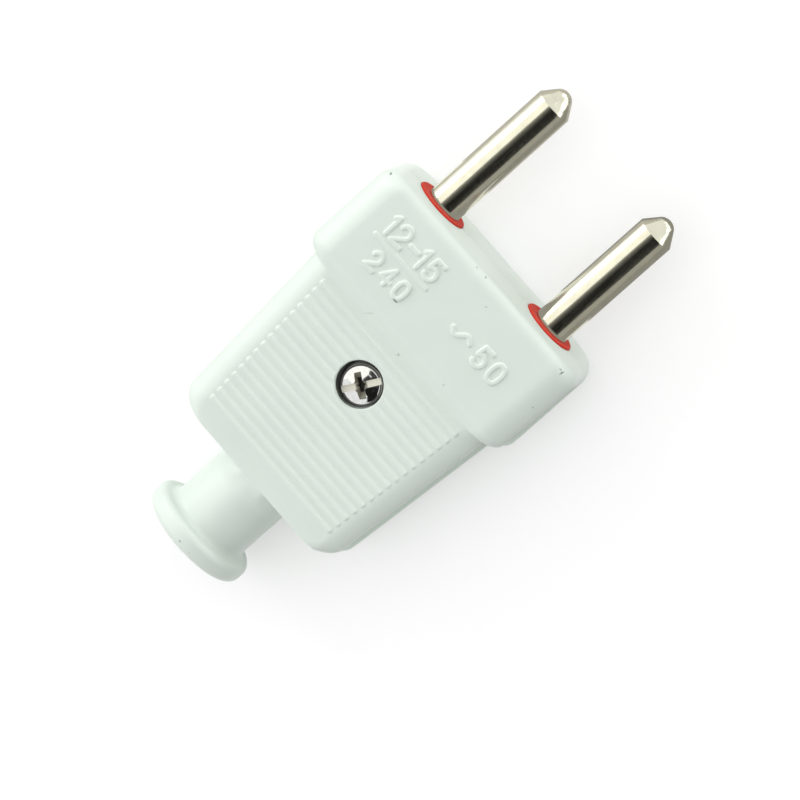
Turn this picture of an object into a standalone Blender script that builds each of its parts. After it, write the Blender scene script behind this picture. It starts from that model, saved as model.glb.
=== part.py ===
"""Flat two-pin plug: a moulded housing in two shells, with its pins, collars, terminals and cord clamp."""

import math

import bmesh
import bpy
from mathutils import Matrix

# Housing outline. The front face is at y = 0, the pins point to +Y and the shells meet at z = 0.
head_width = 0.0338
head_thickness = 0.0147
head_edge_round = 0.0033
front_corner_round = 0.0023
front_edge_round = 0.0013
shoulder_start = 0.01242
shoulder_round = 0.0015
shoulder_fillet = 0.0002
slope_start = 0.0121
body_length = 0.0379
body_rear_width = 0.027
body_thickness = 0.01296
body_edge_round = 0.0029
rear_corner_round = 0.0024
rear_edge_round = 0.0005
neck_diameter = 0.01074
neck_fillet = 0.0009
neck_ramp = 0.0028
neck_edge_margin = 0.00005
flange_diameter = 0.0146
flange_thickness = 0.0027
flange_round_share = 0.466
rim_rear_round = 0.001
housing_length = 0.05

# Clearances between the pieces.
fit_gap = 0.0003
seam_gap = 0.0002
collar_gap = 0.00015
cut_overrun = 0.001

# Grip ribs on the broad faces.
rib_count = 16
rib_pitch = 0.00128
rib_width = 0.00066
rib_height = 0.00024
rib_root = 0.0003
rib_end_round = 0.0004
rib_end_shares = ((0.0, 0.45), (0.3, 0.8), (1.0, 1.0))
rib_first = 0.01537
rib_front_length = 0.0242
rib_rear_length = 0.0215

# Pins, with the round shoulder that locates them and the terminal block behind it.
pin_spacing = 0.019
pin_diameter = 0.0048
pin_reach = 0.01925
pin_play = 0.00095
pin_drift = 0.00015
pin_tip_length = 0.00245
pin_nose_diameter = 0.0024
pin_nose_round = 0.00065
pin_nose_angle = math.radians(60)
pin_shoulder_diameter = 0.0066
pin_shoulder_length = 0.00145
pin_shoulder_chamfer = 0.0003
block_width = 0.0066
block_top = 0.003
block_bottom = 0.0034
block_front = 0.0113
block_length = 0.008
wire_bore_diameter = 0.003
wire_bore_depth = 0.0068

# Insulating collars round the pins.
collar_diameter = 0.0071
collar_stand_out = 0.00025
collar_chamfer = 0.00015
collar_flange_diameter = 0.0096
collar_flange_length = 0.0012
collar_pin_gap = 0.0003
front_wall = 0.0018

# Room inside the housing.
collar_web = 0.0014
pocket_web = 0.0014
pocket_top = 0.005
wiring_front = 0.0194
wiring_front_width = 0.0256
wiring_rear_width = 0.0228
wiring_height = 0.0094
wiring_corner = 0.0015
rear_wall = 0.002
lightening_width = 0.0066
lightening_height = 0.0104
lightening_front = 0.0022
lightening_length = 0.012
cord_bore_diameter = 0.0072
cord_mouth_flare = 0.0006

# Housing screw and its captive nut.
screw_station = 0.02018
screw_diameter = 0.003
screw_length = 0.01
screw_head_diameter = 0.0049
screw_head_height = 0.0019
screw_head_round = 0.0005
screw_head_sink = 0.0005
screw_slot_width = 0.0008
screw_slot_depth = 0.0009
screw_cross_span = 0.003
screw_turn = math.radians(61)
counterbore_diameter = 0.0062
post_diameter = 0.0088
boss_root = 0.0008
nut_across_flats = 0.0055
nut_height = 0.0022
nut_sink = 0.0004

# Terminal screws and cord clamp screws.
terminal_screw_diameter = 0.0026
terminal_screw_length = 0.0028
terminal_head_diameter = 0.0046
terminal_head_height = 0.0013
terminal_slot_width = 0.0007
terminal_slot_depth = 0.0006
clamp_screw_diameter = 0.0026
clamp_screw_length = 0.0056
clamp_head_diameter = 0.0046
clamp_head_height = 0.0013
clamp_slot_width = 0.0007
clamp_slot_depth = 0.0006
head_edge_chamfer = 0.0002

# Cord clamp bar and the bosses it is screwed to.
clamp_station = 0.0318
clamp_screw_spacing = 0.014
clamp_length = 0.0196
clamp_width = 0.0044
clamp_height = 0.0018
clamp_arch_height = 0.0007
clamp_arch_width = 0.0082
clamp_boss_diameter = 0.0056
clamp_boss_top = 0.0003
clamp_boss_hole_depth = 0.0048
grip_rib_width = 0.001
grip_rib_length = 0.0074
grip_rib_height = 0.002
grip_rib_spacing = 0.0026

# Numbers of facets and the places of the cuts along rounded edges.
corner_steps = 7
flat_steps = 6
round_steps = 40
screw_steps = 24
arc_steps = 4
rib_steps = 6
bore_steps = 32
merge_distance = 0.00001
edge_shares = (1.0, 0.66, 0.4, 0.22, 0.09, 0.02, 0.0)
smooth_angle = math.radians(34)

body_rest_height = head_thickness / 2
left = -1
right = 1


def clear_scene():
    for obj in list(bpy.data.objects):
        bpy.data.objects.remove(obj, do_unlink=True)


def make_material(name, colour, roughness, metallic):
    material = bpy.data.materials.new(name)
    material.use_nodes = True
    shader = material.node_tree.nodes["Principled BSDF"]
    shader.inputs["Base Color"].default_value = (*colour, 1.0)
    shader.inputs["Roughness"].default_value = roughness
    shader.inputs["Metallic"].default_value = metallic
    return material


def object_from(name, bm, material=None):
    bmesh.ops.recalc_face_normals(bm, faces=bm.faces[:])
    mesh = bpy.data.meshes.new(name)
    bm.to_mesh(mesh)
    bm.free()
    for polygon in mesh.polygons:
        polygon.use_smooth = True
    mesh.set_sharp_from_angle(angle=smooth_angle)
    if material:
        mesh.materials.append(material)
    obj = bpy.data.objects.new(name, mesh)
    bpy.context.scene.collection.objects.link(obj)
    return obj


def as_tool(obj):
    obj.hide_render = True
    obj.display_type = "WIRE"
    return obj


def combine(obj, tool, operation):
    modifier = obj.modifiers.new(operation.lower() + "_" + tool.name, "BOOLEAN")
    modifier.operation = operation
    modifier.solver = "EXACT"
    modifier.object = tool


def loft(bm, rings):
    """Skin closed rings of equal point counts, with a flat cap on each end."""
    rows = [[bm.verts.new(point) for point in ring] for ring in rings]
    count = len(rows[0])
    for near, far in zip(rows, rows[1:]):
        for index in range(count):
            following = (index + 1) % count
            bm.faces.new((near[index], near[following], far[following], far[index]))
    bm.faces.new(rows[0])
    bm.faces.new(rows[-1][::-1])


def turned(name, profile, along, steps, material=None):
    """Spin a profile of (radius, distance) pairs round the Y or the Z axis."""
    bm = bmesh.new()
    if along == "Y":
        axis = (0, 1, 0)
        points = [(radius, distance, 0) for radius, distance in profile]
    else:
        axis = (0, 0, 1)
        points = [(radius, 0, distance) for radius, distance in profile]
    verts = [bm.verts.new(point) for point in points]
    edges = [bm.edges.new(pair) for pair in zip(verts, verts[1:])]
    bmesh.ops.spin(
        bm,
        geom=verts + edges,
        cent=(0, 0, 0),
        axis=axis,
        angle=math.tau,
        steps=steps,
        use_merge=True,
    )
    bmesh.ops.remove_doubles(bm, verts=bm.verts[:], dist=merge_distance)
    return object_from(name, bm, material)


def block(name, x_range, y_range, z_range, material=None):
    bm = bmesh.new()
    bmesh.ops.create_cube(bm, size=1)
    spans = [high - low for low, high in (x_range, y_range, z_range)]
    middles = [(high + low) / 2 for low, high in (x_range, y_range, z_range)]
    bm.transform(Matrix.Translation(middles) @ Matrix.Diagonal((*spans, 1)))
    return object_from(name, bm, material)


def inset_at(radius, depth):
    """How far an edge rounded to this radius lies inside at a depth below its face."""
    if depth >= radius:
        return 0
    return radius - math.sqrt(radius**2 - (radius - depth) ** 2)


def flat_ring(half_width, half_thickness, corner, y):
    """Upper half of a rounded rectangle, from its +X side to its -X side."""
    centre_x = half_width - corner
    centre_z = half_thickness - corner
    points = [(half_width, seam_gap / 2)]
    for index in range(corner_steps + 1):
        angle = math.pi / 2 * index / corner_steps
        points.append((centre_x + corner * math.cos(angle), centre_z + corner * math.sin(angle)))
    for index in range(1, flat_steps // 2 + 1):
        points.append((centre_x * (1 - index / (flat_steps / 2)), half_thickness))
    mirrored = [(-x, z) for x, z in points[-2::-1]]
    return [(x, y, z) for x, z in points + mirrored]


def round_ring(radius, y, height=None):
    """Upper half of a circle with as many points as a flat ring, or of an oval of a given height."""
    count = 2 * (corner_steps + 1) + flat_steps
    points = []
    for index in range(count + 1):
        angle = math.pi * index / count
        z = max((height or radius) * math.sin(angle), seam_gap / 2)
        points.append((radius * math.cos(angle), y, z))
    return points


def body_half_width(distance):
    """Half width of the tapering body at a distance behind the front face."""
    front = head_width / 2 - shoulder_round - shoulder_fillet
    start = shoulder_start + shoulder_round + shoulder_fillet
    share = (distance - start) / (body_length - start)
    return front + (body_rear_width / 2 - front) * share


def slope_share(distance):
    """Smooth step of the broad face from the head down to the body, from 0 to 1."""
    end = shoulder_start + shoulder_round + shoulder_fillet
    share = min(max((distance - slope_start) / (end - slope_start), 0), 1)
    return share * share * (3 - 2 * share)


def section(distance, half_width):
    share = slope_share(distance)
    thickness = head_thickness + (body_thickness - head_thickness) * share
    corner = head_edge_round + (body_edge_round - head_edge_round) * share
    return flat_ring(half_width, thickness / 2, corner, -distance)


def front_rings():
    rings = []
    for share in edge_shares[::-1]:
        depth = share * front_corner_round
        side = inset_at(front_corner_round, depth)
        top = inset_at(front_edge_round, depth)
        corner = head_edge_round - top
        rings.append(flat_ring(head_width / 2 - side, head_thickness / 2 - top, corner, -depth))
    return rings


def shoulder_rings():
    rings = [section(slope_start, head_width / 2)]
    for index in range(arc_steps + 1):
        angle = math.pi / 2 * index / arc_steps
        distance = shoulder_start + shoulder_round * math.sin(angle)
        rings.append(section(distance, head_width / 2 - shoulder_round * (1 - math.cos(angle))))
    for index in range(1, arc_steps + 1):
        angle = math.pi / 2 * index / arc_steps
        distance = shoulder_start + shoulder_round + shoulder_fillet * (1 - math.cos(angle))
        half_width = head_width / 2 - shoulder_round - shoulder_fillet * math.sin(angle)
        rings.append(section(distance, half_width))
    return rings


def rear_rings():
    rings = []
    for share in edge_shares:
        depth = share * rear_corner_round
        side = inset_at(rear_corner_round, depth)
        top = inset_at(rear_edge_round, depth)
        half_width = body_half_width(body_length - depth) - side
        corner = body_edge_round - top
        rings.append(flat_ring(half_width, body_thickness / 2 - top, corner, depth - body_length))
    return rings


def flange_step():
    """How far the flange stands out from the neck all round."""
    return (flange_diameter - neck_diameter) / 2


def neck_rings():
    """The neck grows out of the rear face with a fillet, and its crest ramps down from the broad face."""
    flange_fillet = flange_step() * flange_round_share
    crest = body_thickness / 2 - rear_edge_round - neck_edge_margin
    rings = []
    for index in range(2 * arc_steps + 1):
        share = index / (2 * arc_steps)
        distance = neck_ramp * share * share
        radius = neck_diameter / 2 + inset_at(neck_fillet, distance)
        slope = distance / neck_ramp
        height = radius + (crest - radius) * (1 - slope * slope * (3 - 2 * slope))
        rings.append(round_ring(radius, -body_length - neck_edge_margin - distance, height))
    flange_front = housing_length - flange_thickness
    for index in range(arc_steps + 1):
        angle = math.pi / 2 * index / arc_steps
        radius = neck_diameter / 2 + flange_fillet * (1 - math.cos(angle))
        y = -flange_front + flange_fillet * (1 - math.sin(angle))
        rings.append(round_ring(radius, y))
    return rings


def flange_rings():
    front = flange_thickness - housing_length
    rim_front_round = flange_step() * flange_round_share
    rings = []
    for index in range(1, arc_steps + 1):
        angle = math.pi / 2 * index / arc_steps
        radius = flange_diameter / 2 - rim_front_round * (1 - math.sin(angle))
        rings.append(round_ring(radius, front - rim_front_round * (1 - math.cos(angle))))
    for index in range(arc_steps + 1):
        angle = math.pi / 2 * index / arc_steps
        radius = flange_diameter / 2 - rim_rear_round * (1 - math.cos(angle))
        y = -housing_length + rim_rear_round * (1 - math.sin(angle))
        rings.append(round_ring(radius, y))
    return rings


def half_housing(name, material):
    bm = bmesh.new()
    loft(bm, front_rings() + shoulder_rings() + rear_rings() + neck_rings() + flange_rings())
    return object_from(name, bm, material)


def rib_section(x, y, scale):
    """Cross section of one rib: a low rounded bar on a root that is sunk in the face."""
    face = body_thickness / 2
    half = rib_width / 2 * scale
    points = [(x, y - half, face - rib_root)]
    for index in range(1, rib_steps):
        angle = math.pi * (1 - index / rib_steps)
        points.append((x, y + half * math.cos(angle), face + rib_height * scale * math.sin(angle)))
    points.append((x, y + half, face - rib_root))
    return points


def grip_ribs(name):
    bm = bmesh.new()
    for index in range(rib_count):
        share = index / (rib_count - 1)
        length = rib_front_length + (rib_rear_length - rib_front_length) * share
        y = -rib_first - rib_pitch * index
        sections = [(rib_end_round * step - length / 2, scale) for step, scale in rib_end_shares]
        sections += [(-x, scale) for x, scale in sections[::-1]]
        loft(bm, [rib_section(x, y, scale) for x, scale in sections])
    return as_tool(object_from(name, bm))


def pin_seat(side, name):
    """Stepped hole for a collar, the pin and the shoulder of the pin."""
    sleeve = collar_diameter / 2 + collar_gap
    flange = collar_flange_diameter / 2 + fit_gap
    shaft = pin_diameter / 2 + fit_gap
    shoulder = pin_shoulder_diameter / 2 + fit_gap
    flange_end = front_wall + collar_flange_length + 2 * fit_gap
    groove = flange_end + collar_web
    groove_end = groove + pin_shoulder_length + pin_play + 2 * fit_gap
    end = groove_end + pocket_web + cut_overrun
    profile = [
        (0, cut_overrun),
        (sleeve, cut_overrun),
        (sleeve, -front_wall),
        (flange, -front_wall),
        (flange, -flange_end),
        (shaft, -flange_end),
        (shaft, -groove),
        (shoulder, -groove),
        (shoulder, -groove_end),
        (shaft, -groove_end),
        (shaft, -end),
        (0, -end),
    ]
    seat = as_tool(turned(name, profile, "Y", bore_steps))
    seat.location.x = side * pin_spacing / 2
    return seat


def pocket_front():
    flange_end = front_wall + collar_flange_length + 2 * fit_gap
    groove_length = pin_shoulder_length + pin_play + 2 * fit_gap
    return flange_end + collar_web + groove_length + pocket_web


def terminal_pocket(side, name):
    middle = side * pin_spacing / 2
    half = block_width / 2 + fit_gap
    return as_tool(
        block(
            name,
            (middle - half, middle + half),
            (-wiring_front - cut_overrun, -pocket_front()),
            (-block_bottom - fit_gap, pocket_top),
        )
    )


def wiring_room(name):
    """Tapered room with rounded corners between the terminals and the rear wall."""
    bm = bmesh.new()
    rear = body_length - rear_wall
    half_front = wiring_front_width / 2
    half_rear = wiring_rear_width / 2
    outline = [(half_front, -wiring_front)]
    for index in range(arc_steps + 1):
        angle = math.pi / 2 * index / arc_steps
        x = half_rear - wiring_corner * (1 - math.cos(angle))
        outline.append((x, -rear + wiring_corner * (1 - math.sin(angle))))
    outline += [(-x, y) for x, y in outline[::-1]]
    half = wiring_height / 2
    loft(bm, [[(x, y, z) for x, y in outline] for z in (-half, half)])
    room = as_tool(object_from(name, bm))
    reach = half + cut_overrun
    screw_post = post("screw_post_tool", post_diameter, -reach, reach, 0, -screw_station)
    combine(room, screw_post, "DIFFERENCE")
    return room


def lightening_room(name):
    half_width = lightening_width / 2
    half_height = lightening_height / 2
    end = lightening_front + lightening_length
    return as_tool(
        block(
            name,
            (-half_width, half_width),
            (-end, -lightening_front),
            (-half_height, half_height),
        )
    )


def cord_bore(name):
    radius = cord_bore_diameter / 2
    start = body_length - rear_wall - cut_overrun
    mouth = radius + cord_mouth_flare
    profile = [
        (0, -start),
        (radius, -start),
        (radius, cord_mouth_flare - housing_length),
        (mouth, -housing_length),
        (mouth, -housing_length - cut_overrun),
        (0, -housing_length - cut_overrun),
    ]
    return as_tool(turned(name, profile, "Y", bore_steps))


def screw_seat_height():
    """Height of the counterbore floor above the parting plane."""
    return body_thickness / 2 - screw_head_sink - screw_head_height - fit_gap


def nut_seat_height():
    """Height of the inner end of the nut pocket, below the parting plane."""
    return nut_sink + nut_height + fit_gap - body_thickness / 2


def screw_hole(name):
    bore = screw_diameter / 2 + fit_gap
    counterbore = counterbore_diameter / 2
    top = head_thickness / 2
    profile = [
        (0, top),
        (counterbore, top),
        (counterbore, screw_seat_height()),
        (bore, screw_seat_height()),
        (bore, -top),
        (0, -top),
    ]
    hole = as_tool(turned(name, profile, "Z", bore_steps))
    hole.location.y = -screw_station
    return hole


def hexagon(name, across_flats, low, high, material=None):
    bm = bmesh.new()
    radius = across_flats / math.sqrt(3)
    angles = [math.tau * index / 6 for index in range(6)]
    corners = [(radius * math.cos(angle), radius * math.sin(angle)) for angle in angles]
    loft(bm, [[(x, y, z) for x, y in corners] for z in (low, high)])
    return object_from(name, bm, material)


def post(name, diameter, low, high, x, y):
    profile = [(0, low), (diameter / 2, low), (diameter / 2, high), (0, high)]
    tool = as_tool(turned(name, profile, "Z", screw_steps))
    tool.location = (x, y, 0)
    return tool


def cut_rooms(shell):
    for side, word in ((left, "left"), (right, "right")):
        combine(shell, tools["pin_seat_" + word], "DIFFERENCE")
        combine(shell, tools["terminal_pocket_" + word], "DIFFERENCE")
    combine(shell, tools["wiring_room"], "DIFFERENCE")
    combine(shell, tools["lightening_room"], "DIFFERENCE")
    combine(shell, tools["cord_bore"], "DIFFERENCE")


def room_tools():
    made = {
        "wiring_room": wiring_room("wiring_room_tool"),
        "lightening_room": lightening_room("lightening_room_tool"),
        "cord_bore": cord_bore("cord_bore_tool"),
        "screw_hole": screw_hole("screw_hole_tool"),
    }
    for side, word in ((left, "left"), (right, "right")):
        made["pin_seat_" + word] = pin_seat(side, "pin_seat_" + word + "_tool")
        pocket = "terminal_pocket_" + word
        made[pocket] = terminal_pocket(side, pocket + "_tool")
    return made


def top_shell(material):
    shell = half_housing("top_shell", material)
    combine(shell, grip_ribs("top_ribs_tool"), "UNION")
    cut_rooms(shell)
    combine(shell, tools["screw_hole"], "DIFFERENCE")
    return shell


def clamp_bosses(shell):
    """Two blind-bored bosses that stand on the floor and rise just over the parting plane."""
    low = -wiring_height / 2 - boss_root
    outer = clamp_boss_diameter / 2
    inner = clamp_screw_diameter / 2 + fit_gap
    bottom = clamp_boss_top - clamp_boss_hole_depth
    profile = [
        (0, low),
        (outer, low),
        (outer, clamp_boss_top),
        (inner, clamp_boss_top),
        (inner, bottom),
        (0, bottom),
    ]
    for side, word in ((left, "left"), (right, "right")):
        boss = turned("clamp_boss_" + word + "_tool", profile, "Z", screw_steps)
        boss.location = (side * clamp_screw_spacing / 2, -clamp_station, 0)
        combine(shell, as_tool(boss), "UNION")


def cord_grip_ribs(shell):
    low = -wiring_height / 2 - boss_root
    for sign, word in ((-1, "rear"), (1, "front")):
        middle = sign * grip_rib_spacing / 2 - clamp_station
        rib = block(
            "cord_grip_" + word + "_tool",
            (-grip_rib_length / 2, grip_rib_length / 2),
            (middle - grip_rib_width / 2, middle + grip_rib_width / 2),
            (low, grip_rib_height - wiring_height / 2),
        )
        combine(shell, as_tool(rib), "UNION")


def bottom_shell(material):
    shell = half_housing("bottom_shell", material)
    shell.data.transform(Matrix.Rotation(math.pi, 4, "Y"))
    ribs = grip_ribs("bottom_ribs_tool")
    ribs.data.transform(Matrix.Rotation(math.pi, 4, "Y"))
    combine(shell, ribs, "UNION")
    cut_rooms(shell)
    combine(shell, tools["screw_hole"], "DIFFERENCE")
    across = nut_across_flats + 2 * fit_gap
    pocket = hexagon("nut_pocket_tool", across, -head_thickness / 2, nut_seat_height())
    pocket.location.y = -screw_station
    combine(shell, as_tool(pocket), "DIFFERENCE")
    clamp_bosses(shell)
    cord_grip_ribs(shell)
    return shell


def pin_profile():
    """Half outline of a pin along its axis, from the tip back to the middle of its block."""
    radius = pin_diameter / 2
    nose = pin_nose_diameter / 2
    shoulder = pin_shoulder_diameter / 2
    shoulder_front = shoulder_distance()
    shoulder_rear = shoulder_front + pin_shoulder_length
    chamfer = pin_shoulder_chamfer
    profile = [(0, pin_reach)]
    for index in range(1, arc_steps + 1):
        angle = pin_nose_angle * index / arc_steps
        spread = nose * math.sin(angle) / math.sin(pin_nose_angle)
        drop = pin_nose_round * (1 - math.cos(angle)) / (1 - math.cos(pin_nose_angle))
        profile.append((spread, pin_reach - drop))
    profile += [
        (radius, pin_reach - pin_tip_length),
        (radius, -shoulder_front),
        (shoulder - chamfer, -shoulder_front),
        (shoulder, -shoulder_front - chamfer),
        (shoulder, -shoulder_rear + chamfer),
        (shoulder - chamfer, -shoulder_rear),
        (radius, -shoulder_rear),
        (radius, -block_front - block_length / 2),
        (0, -block_front - block_length / 2),
    ]
    return profile


def shoulder_distance():
    """How far the shoulder of a pin that is pushed right in lies behind the front face."""
    return front_wall + collar_flange_length + collar_web + pin_play + 3 * fit_gap


def pin(side, name, push_out, material):
    """One pin with its terminal block, bored for the wire from behind and for the screw from above."""
    obj = turned(name, pin_profile(), "Y", round_steps, material)
    half = block_width / 2
    rear = block_front + block_length
    body = block(
        name + "_block_tool",
        (-half, half),
        (-rear, -block_front),
        (-block_bottom, block_top),
    )
    bore = wire_bore_diameter / 2
    end = rear + cut_overrun
    start = rear - wire_bore_depth
    bore_profile = [(0, -start), (bore, -start), (bore, -end), (0, -end)]
    wire_bore = turned(name + "_wire_bore_tool", bore_profile, "Y", bore_steps)
    width = terminal_screw_diameter + 2 * fit_gap
    top = block_top + cut_overrun
    screw_bore = post(name + "_screw_bore_tool", width, 0, top, 0, -terminal_station())
    combine(obj, as_tool(body), "UNION")
    combine(obj, as_tool(wire_bore), "DIFFERENCE")
    combine(obj, screw_bore, "DIFFERENCE")
    for piece in (obj, body, wire_bore):
        piece.location = (pin_place(side), push_out, 0)
    screw_bore.location.x = pin_place(side)
    screw_bore.location.y = push_out - terminal_station()
    return obj


def terminal_station():
    return block_front + block_length / 2


def pin_place(side):
    """Where a pin lies across the plug: both have drifted a little to the right in their seats."""
    return side * pin_spacing / 2 + pin_drift


def collar(side, name, material):
    outer = collar_diameter / 2
    flange = collar_flange_diameter / 2
    inner = pin_diameter / 2 + collar_pin_gap
    flange_front = -front_wall - fit_gap
    flange_rear = flange_front - collar_flange_length
    profile = [
        (inner, collar_stand_out),
        (outer - collar_chamfer, collar_stand_out),
        (outer, collar_stand_out - collar_chamfer),
        (outer, flange_front),
        (flange, flange_front),
        (flange, flange_rear),
        (inner, flange_rear),
        (inner, collar_stand_out),
    ]
    obj = turned(name, profile, "Y", bore_steps, material)
    obj.location.x = side * pin_spacing / 2
    return obj


def slotted_screw(name, sizes, material):
    """Screw along Z with its head standing on z = 0: sizes are shank, length, head, height, slot, depth."""
    shank, length, head, height, slot, depth = sizes
    chamfer = head_edge_chamfer
    profile = [
        (0, height),
        (head / 2 - chamfer, height),
        (head / 2, height - chamfer),
        (head / 2, 0),
        (shank / 2, 0),
        (shank / 2, chamfer - length),
        (shank / 2 - chamfer, -length),
        (0, -length),
    ]
    obj = turned(name, profile, "Z", screw_steps, material)
    reach = head / 2 + cut_overrun
    tool = block(
        name + "_slot_tool",
        (-reach, reach),
        (-slot / 2, slot / 2),
        (height - depth, height + cut_overrun),
    )
    combine(obj, as_tool(tool), "DIFFERENCE")
    tool.parent = obj
    return obj


def terminal_screw(side, name, push_out, material):
    sizes = (
        terminal_screw_diameter,
        terminal_screw_length,
        terminal_head_diameter,
        terminal_head_height,
        terminal_slot_width,
        terminal_slot_depth,
    )
    obj = slotted_screw(name, sizes, material)
    y = push_out - terminal_station()
    obj.location = (pin_place(side), y, block_top + fit_gap)
    return obj


def clamp_screw(side, name, material):
    sizes = (
        clamp_screw_diameter,
        clamp_screw_length,
        clamp_head_diameter,
        clamp_head_height,
        clamp_slot_width,
        clamp_slot_depth,
    )
    obj = slotted_screw(name, sizes, material)
    z = clamp_boss_top + clamp_height + 2 * fit_gap
    obj.location = (side * clamp_screw_spacing / 2, -clamp_station, z)
    return obj


def cord_clamp(material):
    """Bar with an arched underside, held by a screw at each end."""
    bm = bmesh.new()
    half = clamp_length / 2
    arch = clamp_arch_width / 2
    outline = [(half, 0), (half, clamp_height), (-half, clamp_height), (-half, 0)]
    for index in range(2 * arc_steps + 1):
        share = index / (2 * arc_steps)
        rise = clamp_arch_height * math.sin(math.pi * share)
        outline.append((-arch + 2 * arch * share, rise))
    ends = (-clamp_width / 2, clamp_width / 2)
    loft(bm, [[(x, y, z) for x, z in outline] for y in ends])
    obj = object_from("cord_clamp", bm, material)
    z = clamp_boss_top + fit_gap
    width = clamp_screw_diameter + 2 * fit_gap
    for side, word in ((left, "left"), (right, "right")):
        x = side * clamp_screw_spacing / 2
        low = -cut_overrun
        high = clamp_height + cut_overrun
        hole = post("clamp_hole_" + word + "_tool", width, low, high, x, 0)
        hole.parent = obj
        combine(obj, hole, "DIFFERENCE")
    obj.location = (0, -clamp_station, z)
    return obj


def housing_screw(material):
    """Round-headed screw with a slot and a shorter cross slot in its head."""
    shank = screw_diameter / 2
    head = screw_head_diameter / 2
    profile = [(0, screw_head_height)]
    for index in range(arc_steps + 1):
        angle = math.pi / 2 * index / arc_steps
        spread = head - screw_head_round * (1 - math.sin(angle))
        profile.append((spread, screw_head_height - screw_head_round * (1 - math.cos(angle))))
    profile += [
        (head, 0),
        (shank, 0),
        (shank, head_edge_chamfer - screw_length),
        (shank - head_edge_chamfer, -screw_length),
        (0, -screw_length),
    ]
    obj = turned("housing_screw", profile, "Z", round_steps, material)
    floor = screw_head_height - screw_slot_depth
    top = screw_head_height + cut_overrun
    reach = head + cut_overrun
    half = screw_slot_width / 2
    cross = screw_cross_span / 2
    slot = block("screw_slot_tool", (-reach, reach), (-half, half), (floor, top))
    cross_slot = block("screw_cross_tool", (-half, half), (-cross, cross), (floor, top))
    for tool in (slot, cross_slot):
        tool.parent = obj
        combine(obj, as_tool(tool), "DIFFERENCE")
    obj.rotation_euler.z = screw_turn
    obj.location = (0, -screw_station, screw_seat_height() + fit_gap)
    return obj


def housing_nut(material):
    low = nut_sink - body_thickness / 2
    obj = hexagon("housing_nut", nut_across_flats, low, low + nut_height, material)
    width = screw_diameter + 2 * fit_gap
    bore = post("nut_bore_tool", width, -head_thickness, 0, 0, -screw_station)
    obj.location.y = -screw_station
    combine(obj, bore, "DIFFERENCE")
    return obj


def stand_on_floor():
    """Set the whole plug down on z = 0, with the middle of its length at y = 0."""
    base = bpy.data.objects.new("plug", None)
    bpy.context.scene.collection.objects.link(base)
    tip = pin_reach + pin_play
    base.location = (0, (housing_length - tip) / 2, body_rest_height)
    for obj in list(bpy.data.objects):
        if obj != base and obj.parent is None:
            obj.parent = base


clear_scene()
white = make_material("white_plastic", (0.78, 0.84, 0.79), 0.32, 0.0)
nickel = make_material("nickel_plate", (0.72, 0.70, 0.63), 0.16, 1.0)
red = make_material("red_plastic", (0.70, 0.06, 0.04), 0.38, 0.0)
steel = make_material("zinc_plate", (0.66, 0.68, 0.68), 0.24, 1.0)
brass = make_material("brass_screw", (0.72, 0.54, 0.26), 0.3, 1.0)

tools = room_tools()
top_shell(white)
bottom_shell(white)
pin(left, "left_pin", pin_play, nickel)
pin(right, "right_pin", 0, nickel)
collar(left, "left_collar", red)
collar(right, "right_collar", red)
terminal_screw(left, "left_terminal_screw", pin_play, brass)
terminal_screw(right, "right_terminal_screw", 0, brass)
housing_screw(steel)
housing_nut(steel)
cord_clamp(white)
clamp_screw(left, "left_clamp_screw", steel)
clamp_screw(right, "right_clamp_screw", steel)
stand_on_floor()
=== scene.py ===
"""Looks of a flat two-pin plug, laid out as an add-on and run as a script."""

import math

import bmesh
import bpy
import numpy as np
from bpy.props import FloatProperty, FloatVectorProperty, PointerProperty
from bpy.types import NodeSocket, Operator, Panel, PropertyGroup
from mathutils import Matrix, Vector


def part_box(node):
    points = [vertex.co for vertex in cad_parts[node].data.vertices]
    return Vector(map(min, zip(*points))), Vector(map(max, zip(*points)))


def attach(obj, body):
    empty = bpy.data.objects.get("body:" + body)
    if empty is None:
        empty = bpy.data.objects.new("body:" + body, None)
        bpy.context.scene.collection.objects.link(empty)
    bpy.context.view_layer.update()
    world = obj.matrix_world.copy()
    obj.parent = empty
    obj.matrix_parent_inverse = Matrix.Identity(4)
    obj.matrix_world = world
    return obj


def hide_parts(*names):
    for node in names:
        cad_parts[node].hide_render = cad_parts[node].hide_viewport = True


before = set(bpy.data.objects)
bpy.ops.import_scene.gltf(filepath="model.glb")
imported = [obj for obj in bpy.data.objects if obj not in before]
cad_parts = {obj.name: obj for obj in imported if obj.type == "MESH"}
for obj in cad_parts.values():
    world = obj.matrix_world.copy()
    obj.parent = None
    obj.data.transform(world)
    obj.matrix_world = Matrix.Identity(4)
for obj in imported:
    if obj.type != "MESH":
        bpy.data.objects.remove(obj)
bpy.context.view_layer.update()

bl_info = {
    "name": "Flat plug looks",
    "version": (1, 0, 0),
    "blender": (4, 5, 0),
    "location": "3D View > Sidebar > Plug",
    "description": "Finishes, raised marks and stage of a flat two-pin plug",
    "category": "Object",
}

front_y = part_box("top_shell")[1].y
top_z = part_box("top_shell")[1].z
to_row = Matrix.Translation((0.0, front_y, top_z / 2))

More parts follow.
